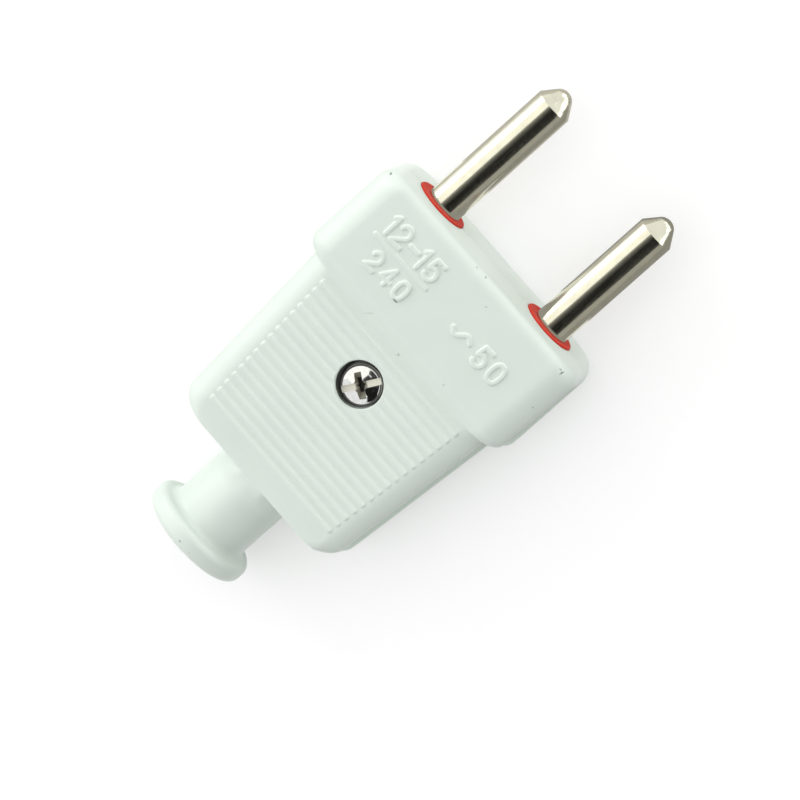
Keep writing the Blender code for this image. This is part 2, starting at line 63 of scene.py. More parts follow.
# Housing outline in metres, with the front face at y = 0 and the shells meeting at z = 0.
head_width = 0.0338
head_thickness = top_z
head_edge_round = 0.0033
front_corner_round = 0.0023
front_edge_round = 0.0013
shoulder_start = 0.01242
shoulder_round = 0.0015
shoulder_fillet = 0.0002
shoulder_end = shoulder_start + shoulder_round + shoulder_fillet
shoulder_half_width = head_width / 2 - shoulder_round - shoulder_fillet
slope_start = 0.0121
body_length = 0.0379
body_rear_width = 0.027
body_thickness = 0.01296
body_edge_round = 0.0029
rear_corner_round = 0.0024
rear_edge_round = 0.0002
neck_diameter = 0.01074
neck_fillet = 0.0009
neck_ramp = 0.0028
neck_edge_margin = 0.00005
crest_half_width = 0.003
crest_front = 0.0007
housing_length = 0.05
flange_diameter = 0.0146
flange_thickness = 0.0027
flange_front = flange_thickness - housing_length
flange_round = 0.0009
rim_rear_round = 0.001
seam_gap = 0.00005
fit_gap = 0.0003
cut_overrun = 0.001

# The right flank of the upper shell: how far it is set in, and where that starts and is full.
side_ledge = 0.0005
ledge_x = 0.0105
ledge_x_ramp = 0.002
ledge_front = 0.0015
ledge_front_ramp = 0.0045

# Grip ribs.
rib_count = 16
rib_pitch = 0.00128
rib_half_width = 0.00062
rib_root = 0.0003
rib_sink = 0.000012
rib_end_round = 0.00034
rib_first = 0.01537
rib_front_length = 0.0242
rib_rear_length = 0.0215

# Pins and collars.
pin_spacing = 0.019
pin_diameter = 0.0048
pin_reach = 0.01915
pin_play = 0.00095
pin_drift = 0.00015
pin_tip_length = 0.0023
pin_nose_diameter = 0.00245
pin_nose_round = 0.00065
pin_nose_angle = math.radians(60)
pin_shoulder_diameter = 0.0066
pin_shoulder_length = 0.00145
pin_shoulder_chamfer = 0.0003
block_width = 0.0066
block_top = 0.003
block_bottom = 0.0034
block_front = 0.0113
block_length = 0.008
terminal_station = block_front + block_length / 2
wire_bore_diameter = 0.003
wire_bore_depth = 0.0068
collar_diameter = 0.0071
collar_stand_out = 0.00025
collar_lip = 0.00018
collar_dish = 0.00012
collar_flange_diameter = 0.0096
collar_flange_length = 0.0012
collar_pin_gap = 0.00003
collar_gap = 0.00008
front_wall = 0.0018

# Rooms inside the housing, at depths behind the front face.
collar_web = 0.0014
pocket_web = 0.0014
collar_room_end = front_wall + collar_flange_length + 2 * fit_gap
groove_front = collar_room_end + collar_web
groove_rear = groove_front + pin_shoulder_length + pin_play + 2 * fit_gap
pocket_front = groove_rear + pocket_web
shoulder_front = front_wall + collar_flange_length + collar_web + pin_play + 3 * fit_gap
pocket_top = 0.005
wiring_front = 0.0194
wiring_front_width = 0.0256
wiring_rear_width = 0.0228
wiring_height = 0.0094
rear_wall = 0.002
lightening_width = 0.0066
lightening_height = 0.0104
lightening_front = 0.0022
lightening_length = 0.012
cord_bore_diameter = 0.0072
cord_mouth_flare = 0.0006

# Housing screw and nut.
screw_station = 0.02018
screw_diameter = 0.003
screw_pitch = 0.0005
screw_length = 0.01
screw_head_diameter = 0.00498
screw_head_height = 0.0019
screw_head_edge = 0.0004
screw_head_sink = 0.0005
screw_head_dome = 0.0005
screw_head_foot = 0.0003
screw_head_lean = 0.05
screw_head_shift = (0.00011, -0.0002)
screw_burr = 0.00007
screw_slot_width = 0.00082
screw_slot_depth = 0.0009
screw_cross_span = 0.0039
screw_cross_depth = 0.0015
screw_cross_share = 1.15
cross_floor_span_share = 0.3
cross_floor_width_share = 0.55
star_reach = 0.00112
star_floor_reach = 0.00028
recess_overrun = 0.0001
screw_turn = math.radians(61)
burr_angle = math.radians(40)
counterbore_diameter = 0.0058
counterbore_round = 0.00012
post_diameter = 0.0088
screw_seat = body_thickness / 2 - screw_head_sink - screw_head_height - fit_gap
nut_across_flats = 0.0055
nut_height = 0.0022
nut_sink = 0.0004
nut_seat = nut_sink + nut_height + fit_gap - body_thickness / 2
nut_chamfer_start = 0.96
nut_chamfer_drop = 0.55
nut_tool_gap = 0.0001
nut_tool_rise = 0.00001

# Terminal screws, threads, screw heads, the cord clamp and its bosses.
terminal_screw_diameter = 0.0026
terminal_screw_length = 0.0028
small_head_diameter = 0.0046
small_head_height = 0.0013
small_head_edge = 0.0002
small_head_dome = 0.0001
small_slot_width = 0.0007
small_slot_depth = 0.0006
small_screw_pitch = 0.00045
thread_depth_share = 0.3
thread_fade_share = 0.4
thread_top = -0.0002
dome_shares = (0.8, 0.6, 0.4, 0.2, 0.02)
clamp_screw_diameter = 0.0026
clamp_screw_length = 0.0056
clamp_station = 0.0318
clamp_screw_spacing = 0.014
clamp_length = 0.0196
clamp_width = 0.0044
clamp_height = 0.0018
clamp_edge_round = 0.0002
clamp_arch_height = 0.0007
clamp_arch_width = 0.0082
clamp_boss_diameter = 0.0056
clamp_boss_top = 0.0003
clamp_boss_hole_depth = 0.0048
boss_root = 0.0008
grip_rib_width = 0.001
grip_rib_length = 0.0074
grip_rib_height = 0.002
grip_rib_spacing = 0.0026

# Facets.
corner_steps = 16
flat_steps = 36
arc_steps = 10
edge_steps = 5
bar_edge_steps = 4
rib_cuts = 14
rib_end_cuts = 7
lathe_steps = 96
thread_steps = 32
thread_cuts_per_turn = 6
card_steps = 24
small_merge = 0.000002
smooth_angle = math.radians(29)

# Camera, as fitted to the pins and the outline of the housing.
camera_place = (0.023235, 0.129493, 0.532593)
camera_right = (0.65795241, 0.7236731, -0.20831674)
camera_up = (-0.7522466, 0.64444468, -0.13717181)
camera_back = (0.03498106, 0.24695808, 0.96839456)
camera_lens = 206.5
camera_sensor = 36.0
camera_clip = (0.01, 100.0)


def colour_prop(name, description, default):
    return FloatVectorProperty(
        name=name,
        description=description,
        default=default,
        size=3,
        min=0.0,
        max=1.0,
        subtype="COLOR",
    )


def length_prop(name, description, default):
    return FloatProperty(
        name=name,
        description=description,
        default=default,
        min=0.0,
        unit="LENGTH",
        subtype="DISTANCE",
    )


class PlugColours(PropertyGroup):
    housing: colour_prop("Housing", "White plastic of both shells", (0.77, 0.85, 0.78))
    # This colour serves the specks and the painted shade on the counterbore's wall.
    dirt_and_shade: colour_prop("Dirt", "Specks and grime on the plastic", (0.05, 0.055, 0.045))
    pins: colour_prop("Pins", "Nickel plate", (0.76, 0.745, 0.6))
    collars: colour_prop("Collars", "Red plastic", (0.75, 0.06, 0.035))
    steel: colour_prop("Steel", "Bright zinc plate", (0.78, 0.79, 0.77))
    brass: colour_prop("Terminal screws", "Turned brass", (0.76, 0.56, 0.26))
    floor: colour_prop("Floor", "Pale floor under the plug", (0.8, 0.8, 0.8))


class PlugSizes(PropertyGroup):
    rib_height: length_prop("Rib height", "How far the grip ribs stand out", 0.00026)
    first_rib_height: length_prop("First rib height", "The same for the rib next to the head", 0.00034)
    mark_height: length_prop("Mark height", "How far the raised marks stand out", 0.00024)
    stroke_width: length_prop("Stroke width", "Width of the strokes of the raised marks", 0.00056)


class StageSizes(PropertyGroup):
    key_power: FloatProperty(name="Key light", description="Power on the left", default=0.55, unit="POWER")
    front_power: FloatProperty(name="Front light", description="Power in front", default=0.9, unit="POWER")
    sky_strength: FloatProperty(name="Sky", description="Strength of the soft light all round", default=1.1)


def placed(name, data):
    obj = bpy.data.objects.new(name, data)
    bpy.context.scene.collection.objects.link(obj)
    return obj


def mesh_object(name, bm):
    bmesh.ops.recalc_face_normals(bm, faces=bm.faces[:])
    mesh = bpy.data.meshes.new(name)
    bm.to_mesh(mesh)
    bm.free()
    return placed(name, mesh)


def plain_object(name, corners, faces):
    mesh = bpy.data.meshes.new(name)
    mesh.from_pydata(corners, [], faces)
    return placed(name, mesh)


def joined(name, rings):
    """Skin closed rings of equal point counts into one closed object, with a cap on each end."""
    bm = bmesh.new()
    add_loft(bm, rings)
    return mesh_object(name, bm)


def add_loft(bm, rings):
    rows = [[bm.verts.new(point) for point in ring] for ring in rings]
    count = len(rows[0])
    for near, far in zip(rows, rows[1:]):
        for index in range(count):
            following = (index + 1) % count
            bm.faces.new((near[index], near[following], far[following], far[index]))
    bm.faces.new(rows[0])
    bm.faces.new(rows[-1][::-1])


def turned(name, profile, along, steps=lathe_steps // 2):
    """Spin a profile of (radius, distance) pairs round the Y or the Z axis."""
    bm = bmesh.new()
    on_y = along == "Y"
    axis = (0, 1, 0) if on_y else (0, 0, 1)
    points = [(radius, far, 0) if on_y else (radius, 0, far) for radius, far in profile]
    verts = [bm.verts.new(point) for point in points]
    parts = verts + [bm.edges.new(pair) for pair in zip(verts, verts[1:])]
    bmesh.ops.spin(bm, geom=parts, cent=(0, 0, 0), axis=axis, angle=math.tau, steps=steps, use_merge=True)
    bmesh.ops.remove_doubles(bm, verts=bm.verts[:], dist=small_merge)
    return mesh_object(name, bm)


def stepped(start, *steps):
    """Closed profile of a stepped rod or hole: each step has its radius and the place where it ends."""
    profile = [(0, start)]
    for radius, end in steps:
        profile += [(radius, profile[-1][1]), (radius, end)]
    return profile + [(0, profile[-1][1])]


def brick(name, width, y_range, z_range):
    """Box whose width is halved by the plane x = 0."""
    bm = bmesh.new()
    bmesh.ops.create_cube(bm, size=1)
    spans = [high - low for low, high in (y_range, z_range)]
    middles = [(high + low) / 2 for low, high in (y_range, z_range)]
    bm.transform(Matrix.Translation((0, *middles)) @ Matrix.Diagonal((width, *spans, 1)))
    return mesh_object(name, bm)


def moved(obj, x=0.0, y=0.0, z=0.0):
    obj.data.transform(Matrix.Translation((x, y, z)))
    return obj


def spun_round(obj, angle, axis):
    obj.data.transform(Matrix.Rotation(angle, 4, axis))
    return obj


def combine(obj, tool, operation):
    """Join or cut a mesh with a tool at once, and drop the tool."""
    for solver in ("MANIFOLD", "EXACT"):
        modifier = obj.modifiers.new("combine", "BOOLEAN")
        modifier.operation = operation
        modifier.solver = solver
        modifier.object = tool
        graph = bpy.context.evaluated_depsgraph_get()
        made = bpy.data.meshes.new_from_object(obj.evaluated_get(graph))
        obj.modifiers.clear()
        changed = len(made.polygons) != len(obj.data.polygons)
        if changed and len(made.polygons) > 0:
            obj.data = made
            bpy.data.objects.remove(tool, do_unlink=True)
            return
    raise RuntimeError(obj.name + " could not be combined with " + tool.name)


def cut(obj, *tools):
    for tool in tools:
        combine(obj, tool, "DIFFERENCE")


def fuse(obj, tool):
    combine(obj, tool, "UNION")


def smooth(share):
    """Soft step from 0 to 1."""
    share = min(max(share, 0), 1)
    return share * share * (3 - 2 * share)


def inset_at(radius, depth):
    """How far an edge rounded to this radius lies inside at a depth below its face."""
    if depth >= radius:
        return 0
    return radius - math.sqrt(radius**2 - (radius - depth) ** 2)


def quarter(index, steps=arc_steps):
    return math.pi / 2 * index / steps


def grow(index, steps=arc_steps):
    """From 0 to 1 round a quarter circle, slow at first."""
    return 1 - math.cos(quarter(index, steps))


def shrink(index, steps=arc_steps):
    """From 1 to 0 round a quarter circle, slow at last."""
    return 1 - math.sin(quarter(index, steps))


def rounding(size, steps=arc_steps):
    """Depths below the two faces of a rounded edge, from the first face round to the second."""
    return [(size * grow(index, steps), size * shrink(index, steps)) for index in range(steps + 1)]


def flat_ring(half_width, half_thickness, corner, y):
    """Upper half of a rounded rectangle, from its +X side to its -X side."""
    centre_x = half_width - corner
    centre_z = half_thickness - corner
    points = [(half_width, seam_gap / 2)]
    for index in range(corner_steps + 1):
        angle = quarter(index, corner_steps)
        points.append((centre_x + corner * math.cos(angle), centre_z + corner * math.sin(angle)))
    for index in range(1, flat_steps // 2 + 1):
        points.append((centre_x * (1 - index / (flat_steps / 2)), half_thickness))
    mirrored = [(-x, z) for x, z in points[-2::-1]]
    return [(x, y, z) for x, z in points + mirrored]


def round_ring(radius, y, height=None):
    """Upper half of a circle with as many points as a flat ring, or of an oval of a given height."""
    count = 2 * (corner_steps + 1) + flat_steps
    points = []
    for index in range(count + 1):
        angle = math.pi * index / count
        z = max((height or radius) * math.sin(angle), seam_gap / 2)
        points.append((radius * math.cos(angle), y, z))
    return points


def body_half_width(distance):
    """Half width of the tapering body at a distance behind the front face."""
    share = (distance - shoulder_end) / (body_length - shoulder_end)
    return shoulder_half_width + (body_rear_width / 2 - shoulder_half_width) * share


def section(distance, half_width):
    """Ring at a distance behind the front face, on the smooth step from the head down to the body."""
    share = smooth((distance - slope_start) / (shoulder_end - slope_start))
    thickness = head_thickness + (body_thickness - head_thickness) * share
    corner = head_edge_round + (body_edge_round - head_edge_round) * share
    return flat_ring(half_width, thickness / 2, corner, -distance)


def front_rings():
    rings = []
    for depth, inset in rounding(front_corner_round):
        top = inset_at(front_edge_round, depth)
        half_height = head_thickness / 2 - top
        rings.append(flat_ring(head_width / 2 - inset, half_height, head_edge_round - top, -depth))
    return rings


def shoulder_rings():
    rings = [section(slope_start, head_width / 2)]
    for index in range(arc_steps + 1):
        distance = shoulder_start + shoulder_round * math.sin(quarter(index))
        rings.append(section(distance, head_width / 2 - shoulder_round * grow(index)))
    for index in range(1, arc_steps + 1):
        distance = shoulder_start + shoulder_round + shoulder_fillet * grow(index)
        half_width = head_width / 2 - shoulder_round - shoulder_fillet * math.sin(quarter(index))
        rings.append(section(distance, half_width))
    return rings


def rear_rings():
    rings = []
    for depth, inset in rounding(rear_corner_round)[::-1]:
        top = inset_at(rear_edge_round, depth)
        half_width = body_half_width(body_length - depth) - inset
        half_height = body_thickness / 2 - top
        rings.append(flat_ring(half_width, half_height, body_edge_round - top, depth - body_length))
    return rings


def neck_oval(distance):
    """Half width and height of the neck behind the body, where a fillet and a crest run down onto it."""
    radius = neck_diameter / 2 + inset_at(neck_fillet, distance)
    crest = body_thickness / 2 - rear_edge_round - neck_edge_margin
    return radius, radius + (crest - radius) * (1 - smooth(distance / neck_ramp))


def crest_lift(x, y, z):
    """Extra height that carries the broad face smoothly over the rear edge and down onto the neck."""
    behind = -body_length - y
    side = 1 - abs(x) / crest_half_width
    if side <= 0 or not -crest_front < behind < neck_ramp:
        return 0
    fall = smooth((crest_front + behind) / (crest_front + neck_ramp))
    neck = math.sqrt((neck_diameter / 2) ** 2 - x**2)
    height = body_thickness / 2 * (1 - fall) + neck * fall
    return max(height - z, 0) * smooth(2 * side)


def arc_rings(radius, y, size, start, end):
    """Rings along a rounding of the neck or the flange, from one angle to another in degrees."""
    rings = []
    for index in range(arc_steps + 1):
        angle = math.radians(start + (end - start) * index / arc_steps)
        rings.append(round_ring(radius + size * math.cos(angle), y + size * math.sin(angle)))
    return rings


def neck_rings():
    rings = []
    for index in range(2 * arc_steps + 1):
        distance = neck_ramp * (index / (2 * arc_steps)) ** 2
        radius, height = neck_oval(distance)
        rings.append(round_ring(radius, -body_length - neck_edge_margin - distance, height))
    radius = neck_diameter / 2 + flange_round
    return rings + arc_rings(radius, flange_front + flange_round, flange_round, 180, 270)


def flange_rings():
    radius = flange_diameter / 2
    front = arc_rings(radius - flange_round, flange_front - flange_round, flange_round, 90, 0)
    rim = arc_rings(radius - rim_rear_round, rim_rear_round - housing_length, rim_rear_round, 0, -90)
    return front[1:] + rim


def half_housing(name):
    rear = [[(x, y, z + crest_lift(x, y, z)) for x, y, z in ring] for ring in rear_rings() + neck_rings()]
    return joined(name, front_rings() + shoulder_rings() + rear + flange_rings())


def set_in_side(shell):
    """Draw the right flank in, so that the other shell shows past it as a narrow ledge."""
    for vert in shell.data.vertices:
        from_front = min(max((-vert.co.y - ledge_front) / ledge_front_ramp, 0), 1)
        vert.co.x -= side_ledge * from_front * smooth((vert.co.x - ledge_x) / ledge_x_ramp)


def rib_section(x, y, scale, height):
    """Cross section of one rib: a soft wave on a root that is sunk in the face."""
    face = body_thickness / 2
    half = rib_half_width * scale
    points = [(x, y - half, face - rib_root)]
    for index in range(rib_cuts + 1):
        share = 2 * index / rib_cuts - 1
        rise = (height + rib_sink) * scale * (0.5 + 0.5 * math.cos(math.pi * share)) - rib_sink
        points.append((x, y + half * share, face + rise))
    points.append((x, y + half, face - rib_root))
    return points


def grip_ribs(sizes):
    bm = bmesh.new()
    for index in range(rib_count):
        share = index / (rib_count - 1)
        length = rib_front_length + (rib_rear_length - rib_front_length) * share
        height = sizes.rib_height if index else sizes.first_rib_height
        y = -rib_first - rib_pitch * index
        sections = []
        for step in range(1, rib_end_cuts + 1):
            x = rib_end_round * grow(step, rib_end_cuts) - length / 2
            sections.append((x, math.sin(quarter(step, rib_end_cuts))))
        sections += [(-x, scale) for x, scale in sections[::-1]]
        add_loft(bm, [rib_section(x, y, scale, height) for x, scale in sections])
    return mesh_object("ribs_tool", bm)


def pin_seat(side):
    """Stepped hole for a collar, the pin and the shoulder of the pin."""
    shaft = pin_diameter / 2 + fit_gap
    profile = stepped(
        cut_overrun,
        (collar_diameter / 2 + collar_gap, -front_wall),
        (collar_flange_diameter / 2 + fit_gap, -collar_room_end),
        (shaft, -groove_front),
        (pin_shoulder_diameter / 2 + fit_gap, -groove_rear),
        (shaft, -pocket_front - cut_overrun),
    )
    return moved(turned("pin_seat_tool", profile, "Y"), x=side * pin_spacing / 2)


def terminal_pocket(side):
    y_range = (-wiring_front - cut_overrun, -pocket_front)
    z_range = (-block_bottom - fit_gap, pocket_top)
    pocket = brick("terminal_pocket_tool", block_width + 2 * fit_gap, y_range, z_range)
    return moved(pocket, side * pin_spacing / 2)


def post(diameter, low, high, x=0.0, y=0.0):
    return moved(turned("post_tool", stepped(low, (diameter / 2, high)), "Z"), x, y)


def wiring_room():
    rear = body_length - rear_wall
    front_x = wiring_front_width / 2
    rear_x = wiring_rear_width / 2
    outline = [(front_x, -wiring_front), (rear_x, -rear), (-rear_x, -rear), (-front_x, -wiring_front)]
    half = wiring_height / 2
    room = joined("wiring_room_tool", [[(x, y, z) for x, y in outline] for z in (-half, half)])
    cut(room, post(post_diameter, -half - cut_overrun, half + cut_overrun, 0.0, -screw_station))
    return room


def lightening_room():
    half = lightening_height / 2
    y_range = (-lightening_front - lightening_length, -lightening_front)
    return brick("lightening_room_tool", lightening_width, y_range, (-half, half))


def cord_bore():
    radius = cord_bore_diameter / 2
    start = cut_overrun + rear_wall - body_length
    end = -housing_length - cut_overrun
    profile = [(0, start), (radius, start)]
    profile += [(radius + flare, depth - housing_length) for flare, depth in rounding(cord_mouth_flare)]
    profile += [(radius + cord_mouth_flare, end), (0, end)]
    return turned("cord_bore_tool", profile, "Y")


def screw_hole():
    bore = screw_diameter / 2 + fit_gap
    wide = counterbore_diameter / 2
    top = head_thickness / 2
    face = body_thickness / 2
    profile = [(0, top), (wide + counterbore_round, top), (wide + counterbore_round, face)]
    for down, out in rounding(counterbore_round, edge_steps)[1:]:
        profile.append((wide + out, face - down))
    profile += [(wide, screw_seat), (bore, screw_seat), (bore, -top), (0, -top)]
    return moved(turned("screw_hole_tool", profile, "Z", lathe_steps), y=-screw_station)


def cut_rooms(shell):
    for side in (-1, 1):
        cut(shell, pin_seat(side), terminal_pocket(side))
    cut(shell, wiring_room(), lightening_room(), cord_bore(), screw_hole())


# Raised marks. Places and strokes are in millimetres.
millimetres = 1000
mark_pitch = 0.06
mark_margin = 0.55
mark_foot = 0.15
mark_sink = 0.02
stroke_round = 0.14
far_away = 1000.0


def arc_points(x, y, half_width, half_height, start, end, power=1.0, steps=18):
    """Points on a rounded loop, which a power under 1 makes squarer."""
    points = []
    for index in range(steps + 1):
        angle = math.radians(start + (end - start) * index / steps)
        across = math.copysign(abs(math.cos(angle)) ** power, math.cos(angle))
        up = math.copysign(abs(math.sin(angle)) ** power, math.sin(angle))
        points.append((x + half_width * across, y + half_height * up))
    return points


def glyph_strokes():
    """Centre lines of the digits on a 2.5 mm high cell, with x = 0 in the middle."""
    zero = arc_points(0.0, 1.25, 0.72, 1.25, 0, 360, 0.78, 32)
    two = arc_points(0.0, 1.72, 0.7, 0.78, 165, -35, 1.0) + [(-0.74, 0.0), (0.78, 0.0)]
    five = [(0.66, 2.5), (-0.5, 2.5), (-0.62, 1.32)] + arc_points(-0.02, 0.78, 0.74, 0.78, 135, -145)
    return {
        "0": [zero],
        "1": [[(-0.42, 2.1), (0.0, 2.5), (0.0, 0.0)]],
        "2": [two],
        "4": [[(0.3, 0.0), (0.3, 2.5), (-0.8, 0.72), (0.82, 0.72)]],
        "5": [five],
        "-": [[(-0.6, 1.25), (0.6, 1.25)]],
        "~": [[(x / 8, 1.25 + 0.42 * math.sin(math.pi * x / 9)) for x in range(-9, 10)]],
    }


def mark_strokes():
    """Strokes of all raised marks on the head's broad face, each with its share of the full height."""
    glyphs = glyph_strokes()
    rows = (
        ("12-15", (-11.05, -9.45, -7.3, -5.75, -4.05), 9.3, 1.02, 1.0),
        ("24", (-9.5, -7.1), 5.05, 0.88, 0.85),
        ("0", (-4.85,), 5.05, 0.88, 1.35),
        ("~", (3.7,), 6.5, 1.25, 0.85),
        ("50", (7.2, 9.7), 6.85, 1.0, 0.9),
    )
    strokes = [([(-11.75, 8.38), (-3.14, 8.49)], 0.7)]
    for text, places, base, size, height in rows:
        for letter, place in zip(text, places):
            for line in glyphs[letter]:
                strokes.append(([(place + x * size, base + y * size) for x, y in line], height))
    return strokes


def distance_to(line, x, y):
    """Distance from each grid point to a stroke."""
    nearest = np.full(x.shape, far_away)
    for (ax, ay), (bx, by) in zip(line, line[1:]):
        dx, dy = bx - ax, by - ay
        along = ((x - ax) * dx + (y - ay) * dy) / (dx * dx + dy * dy)
        along = np.clip(along, 0.0, 1.0)
        nearest = np.minimum(nearest, np.hypot(x - ax - along * dx, y - ay - along * dy))
    return nearest


def relief(name, x, y, z, low):
    """Closed block with a flat underside, whose top follows a grid of heights."""
    order = np.arange(x.size).reshape(x.shape)
    quads = (order[:-1, :-1], order[1:, :-1], order[1:, 1:], order[:-1, 1:])
    faces = np.stack(quads, axis=-1).reshape(-1, 4).tolist()
    border = np.concatenate((order[:, 0], order[-1, 1:], order[-2::-1, -1], order[0, -2:0:-1])).tolist()
    corners = np.stack((x, y, z), axis=-1).reshape(-1, 3).tolist()
    start = len(corners)
    corners += [(corners[index][0], corners[index][1], low) for index in border]
    for index in range(len(border)):
        following = (index + 1) % len(border)
        faces.append((border[following], border[index], start + index, start + following))
    faces.append(tuple(range(start + len(border) - 1, start - 1, -1)))
    return plain_object(name, corners, faces)


def mark_relief(strokes, sizes):
    """Block over some strokes, which stands out of the face only along them."""
    points = np.array([point for line, height in strokes for point in line])
    low = points.min(axis=0) - mark_margin
    high = points.max(axis=0) + mark_margin
    ranges = [np.arange(low[axis], high[axis], mark_pitch) for axis in (0, 1)]
    x, y = np.meshgrid(*ranges, indexing="ij")
    half = sizes.stroke_width * millimetres / 2
    rise = np.full(x.shape, -mark_sink)
    for line, height in strokes:
        share = (half + mark_foot - distance_to(line, x, y)) / (stroke_round + mark_foot)
        share = np.clip(share, 0, 1)
        full = sizes.mark_height * millimetres * height + mark_sink
        rise = np.maximum(rise, full * share * share * (3 - 2 * share) - mark_sink)
    face = head_thickness / 2
    x, y, rise = x / millimetres, y / millimetres, rise / millimetres
    return relief("marks_tool", x, y - front_y, face + rise, face - rib_root)


def raise_marks(shell, sizes):
    strokes = mark_strokes()
    for on_left in (True, False):
        group = [stroke for stroke in strokes if (stroke[0][0][0] < 0) == on_left]
        fuse(shell, mark_relief(group, sizes))


def clamp_bosses(shell):
    hole = (clamp_screw_diameter / 2 + fit_gap, clamp_boss_top - clamp_boss_hole_depth)
    profile = stepped(-wiring_height / 2 - boss_root, (clamp_boss_diameter / 2, clamp_boss_top), hole)
    for side in (-1, 1):
        boss = turned("clamp_boss_tool", profile, "Z")
        fuse(shell, moved(boss, side * clamp_screw_spacing / 2, -clamp_station))


def cord_grip_ribs(shell):
    heights = (-wiring_height / 2 - boss_root, grip_rib_height - wiring_height / 2)
    for side in (-1, 1):
        middle = side * grip_rib_spacing / 2 - clamp_station
        y_range = (middle - grip_rib_width / 2, middle + grip_rib_width / 2)
        fuse(shell, brick("cord_grip_tool", grip_rib_length, y_range, heights))


def hexagon(name, across_flats, low, high):
    radius = across_flats / math.sqrt(3)
    angles = [math.tau * index / 6 for index in range(6)]
    corners = [(radius * math.cos(angle), radius * math.sin(angle)) for angle in angles]
    return joined(name, [[(x, y, z) for x, y in corners] for z in (low, high)])


def upper_shell(sizes):
    shell = half_housing("upper_shell")
    set_in_side(shell)
    fuse(shell, grip_ribs(sizes))
    raise_marks(shell, sizes)
    cut_rooms(shell)
    return shell


def lower_shell(sizes):
    shell = spun_round(half_housing("lower_shell"), math.pi, "Y")
    fuse(shell, spun_round(grip_ribs(sizes), math.pi, "Y"))
    cut_rooms(shell)
    across = nut_across_flats + 2 * fit_gap
    pocket = hexagon("nut_pocket_tool", across, -head_thickness / 2, nut_seat)
    cut(shell, moved(pocket, y=-screw_station))
    clamp_bosses(shell)
    cord_grip_ribs(shell)
    return shell


def pin_place(side):
    """Where a pin lies across the plug: both have drifted a little to the right in their seats."""
    return side * pin_spacing / 2 + pin_drift


def pin_profile():
    """Half outline of a pin along its axis, from the tip back to the middle of its block."""
    radius = pin_diameter / 2
    wide = pin_shoulder_diameter / 2
    front = -shoulder_front
    rear = front - pin_shoulder_length
    chamfer = pin_shoulder_chamfer
    profile = [(0, pin_reach)]
    for index in range(1, arc_steps + 1):
        angle = pin_nose_angle * index / arc_steps
        spread = pin_nose_diameter / 2 * math.sin(angle) / math.sin(pin_nose_angle)
        drop = pin_nose_round * (1 - math.cos(angle)) / (1 - math.cos(pin_nose_angle))
        profile.append((spread, pin_reach - drop))
    return profile + [
        (radius, pin_reach - pin_tip_length),
        (radius, front),
        (wide - chamfer, front),
        (wide, front - chamfer),
        (wide, rear + chamfer),
        (wide - chamfer, rear),
        (radius, rear),
        (radius, -terminal_station),
        (0, -terminal_station),
    ]


def pin(name, side, push_out):
    """One pin with its terminal block, bored for the wire from behind and for the screw from above."""
    obj = turned(name, pin_profile(), "Y", lathe_steps)
    rear = block_front + block_length
    block = brick("block_tool", block_width, (-rear, -block_front), (-block_bottom, block_top))
    fuse(obj, block)
    bore = stepped(wire_bore_depth - rear, (wire_bore_diameter / 2, -rear - cut_overrun))
    hole = post(terminal_screw_diameter + 2 * fit_gap, 0, block_top + cut_overrun, 0.0, -terminal_station)
    cut(obj, turned("wire_bore_tool", bore, "Y"), hole)
    return moved(obj, pin_place(side), push_out)


def collar(name, side):
    """Red sleeve with a dished face whose outer edge is rounded."""
    outer = collar_diameter / 2
    flange = collar_flange_diameter / 2
    inner = pin_diameter / 2 + collar_pin_gap
    front = -front_wall - fit_gap
    rear = front - collar_flange_length
    dish = (inner, collar_stand_out - collar_dish)
    profile = [dish]
    profile += [(outer - inset, collar_stand_out - down) for down, inset in rounding(collar_lip)]
    profile += [(outer, front), (flange, front), (flange, rear), (inner, rear), dish]
    obj = turned(name, profile, "Y", lathe_steps)
    for vert in obj.data.vertices:
        if math.hypot(vert.co.x, vert.co.z) < inner + small_merge:
            vert.co.x += pin_drift
    return moved(obj, x=side * pin_spacing / 2)


def plain_ring(radius, z):
    turns = [math.tau * index / thread_steps for index in range(thread_steps)]
    return [(radius * math.cos(turn), radius * math.sin(turn), z) for turn in turns]


def thread_rings(radius, pitch, low, high):
    """Rings of a screw's shank from the top down, with a helical ridge."""
    depth = thread_depth_share * pitch
    cuts = int(round((high - low) / pitch * thread_cuts_per_turn))
    rings = []
    for step in range(cuts + 1):
        z = high - (high - low) * step / cuts
        fade = thread_fade_share * depth * (1 - min(z - low, pitch) / pitch)
        ring = []
        for index, (x, y, height) in enumerate(plain_ring(1.0, z)):
            phase = (z / pitch - index / thread_steps) % 1.0
            across = radius - depth * abs(2 * phase - 1) - fade
            ring.append((across * x, across * y, height))
        rings.append(ring)
    return rings


def head_profile(radius, height, edge, dome):
    """Half outline of a screw head, from its rim's foot up to near its middle."""
    profile = [(radius, 0.0), (radius, height - dome - edge)]
    for inset, down in rounding(edge, edge_steps)[1:]:
        profile.append((radius - inset, height - dome - down))
    for share in dome_shares:
        reach = (radius - edge) * share
        profile.append((reach, height - dome * (reach / (radius - edge)) ** 2))
    return profile


def screw(name, head, shank, pitch, length):
    """Screw along Z with its head standing on z = 0; head is radius, height, edge, dome."""
    rings = [plain_ring(radius, z) for radius, z in head_profile(*head)[::-1]]
    return joined(name, rings + thread_rings(shank, pitch, -length, thread_top))


def slot_tool(head_diameter, width, low, high):
    """Bar along X that is wider than the head and cuts its slot."""
    half = width / 2
    return brick("slot_tool", head_diameter + 2 * cut_overrun, (-half, half), (low, high + cut_overrun))


def small_screw(name, shank, length):
    head = (small_head_diameter / 2, small_head_height, small_head_edge, small_head_dome)
    obj = screw(name, head, shank, small_screw_pitch, length)
    low = small_head_height - small_slot_depth
    cut(obj, slot_tool(small_head_diameter, small_slot_width, low, small_head_height))
    return obj


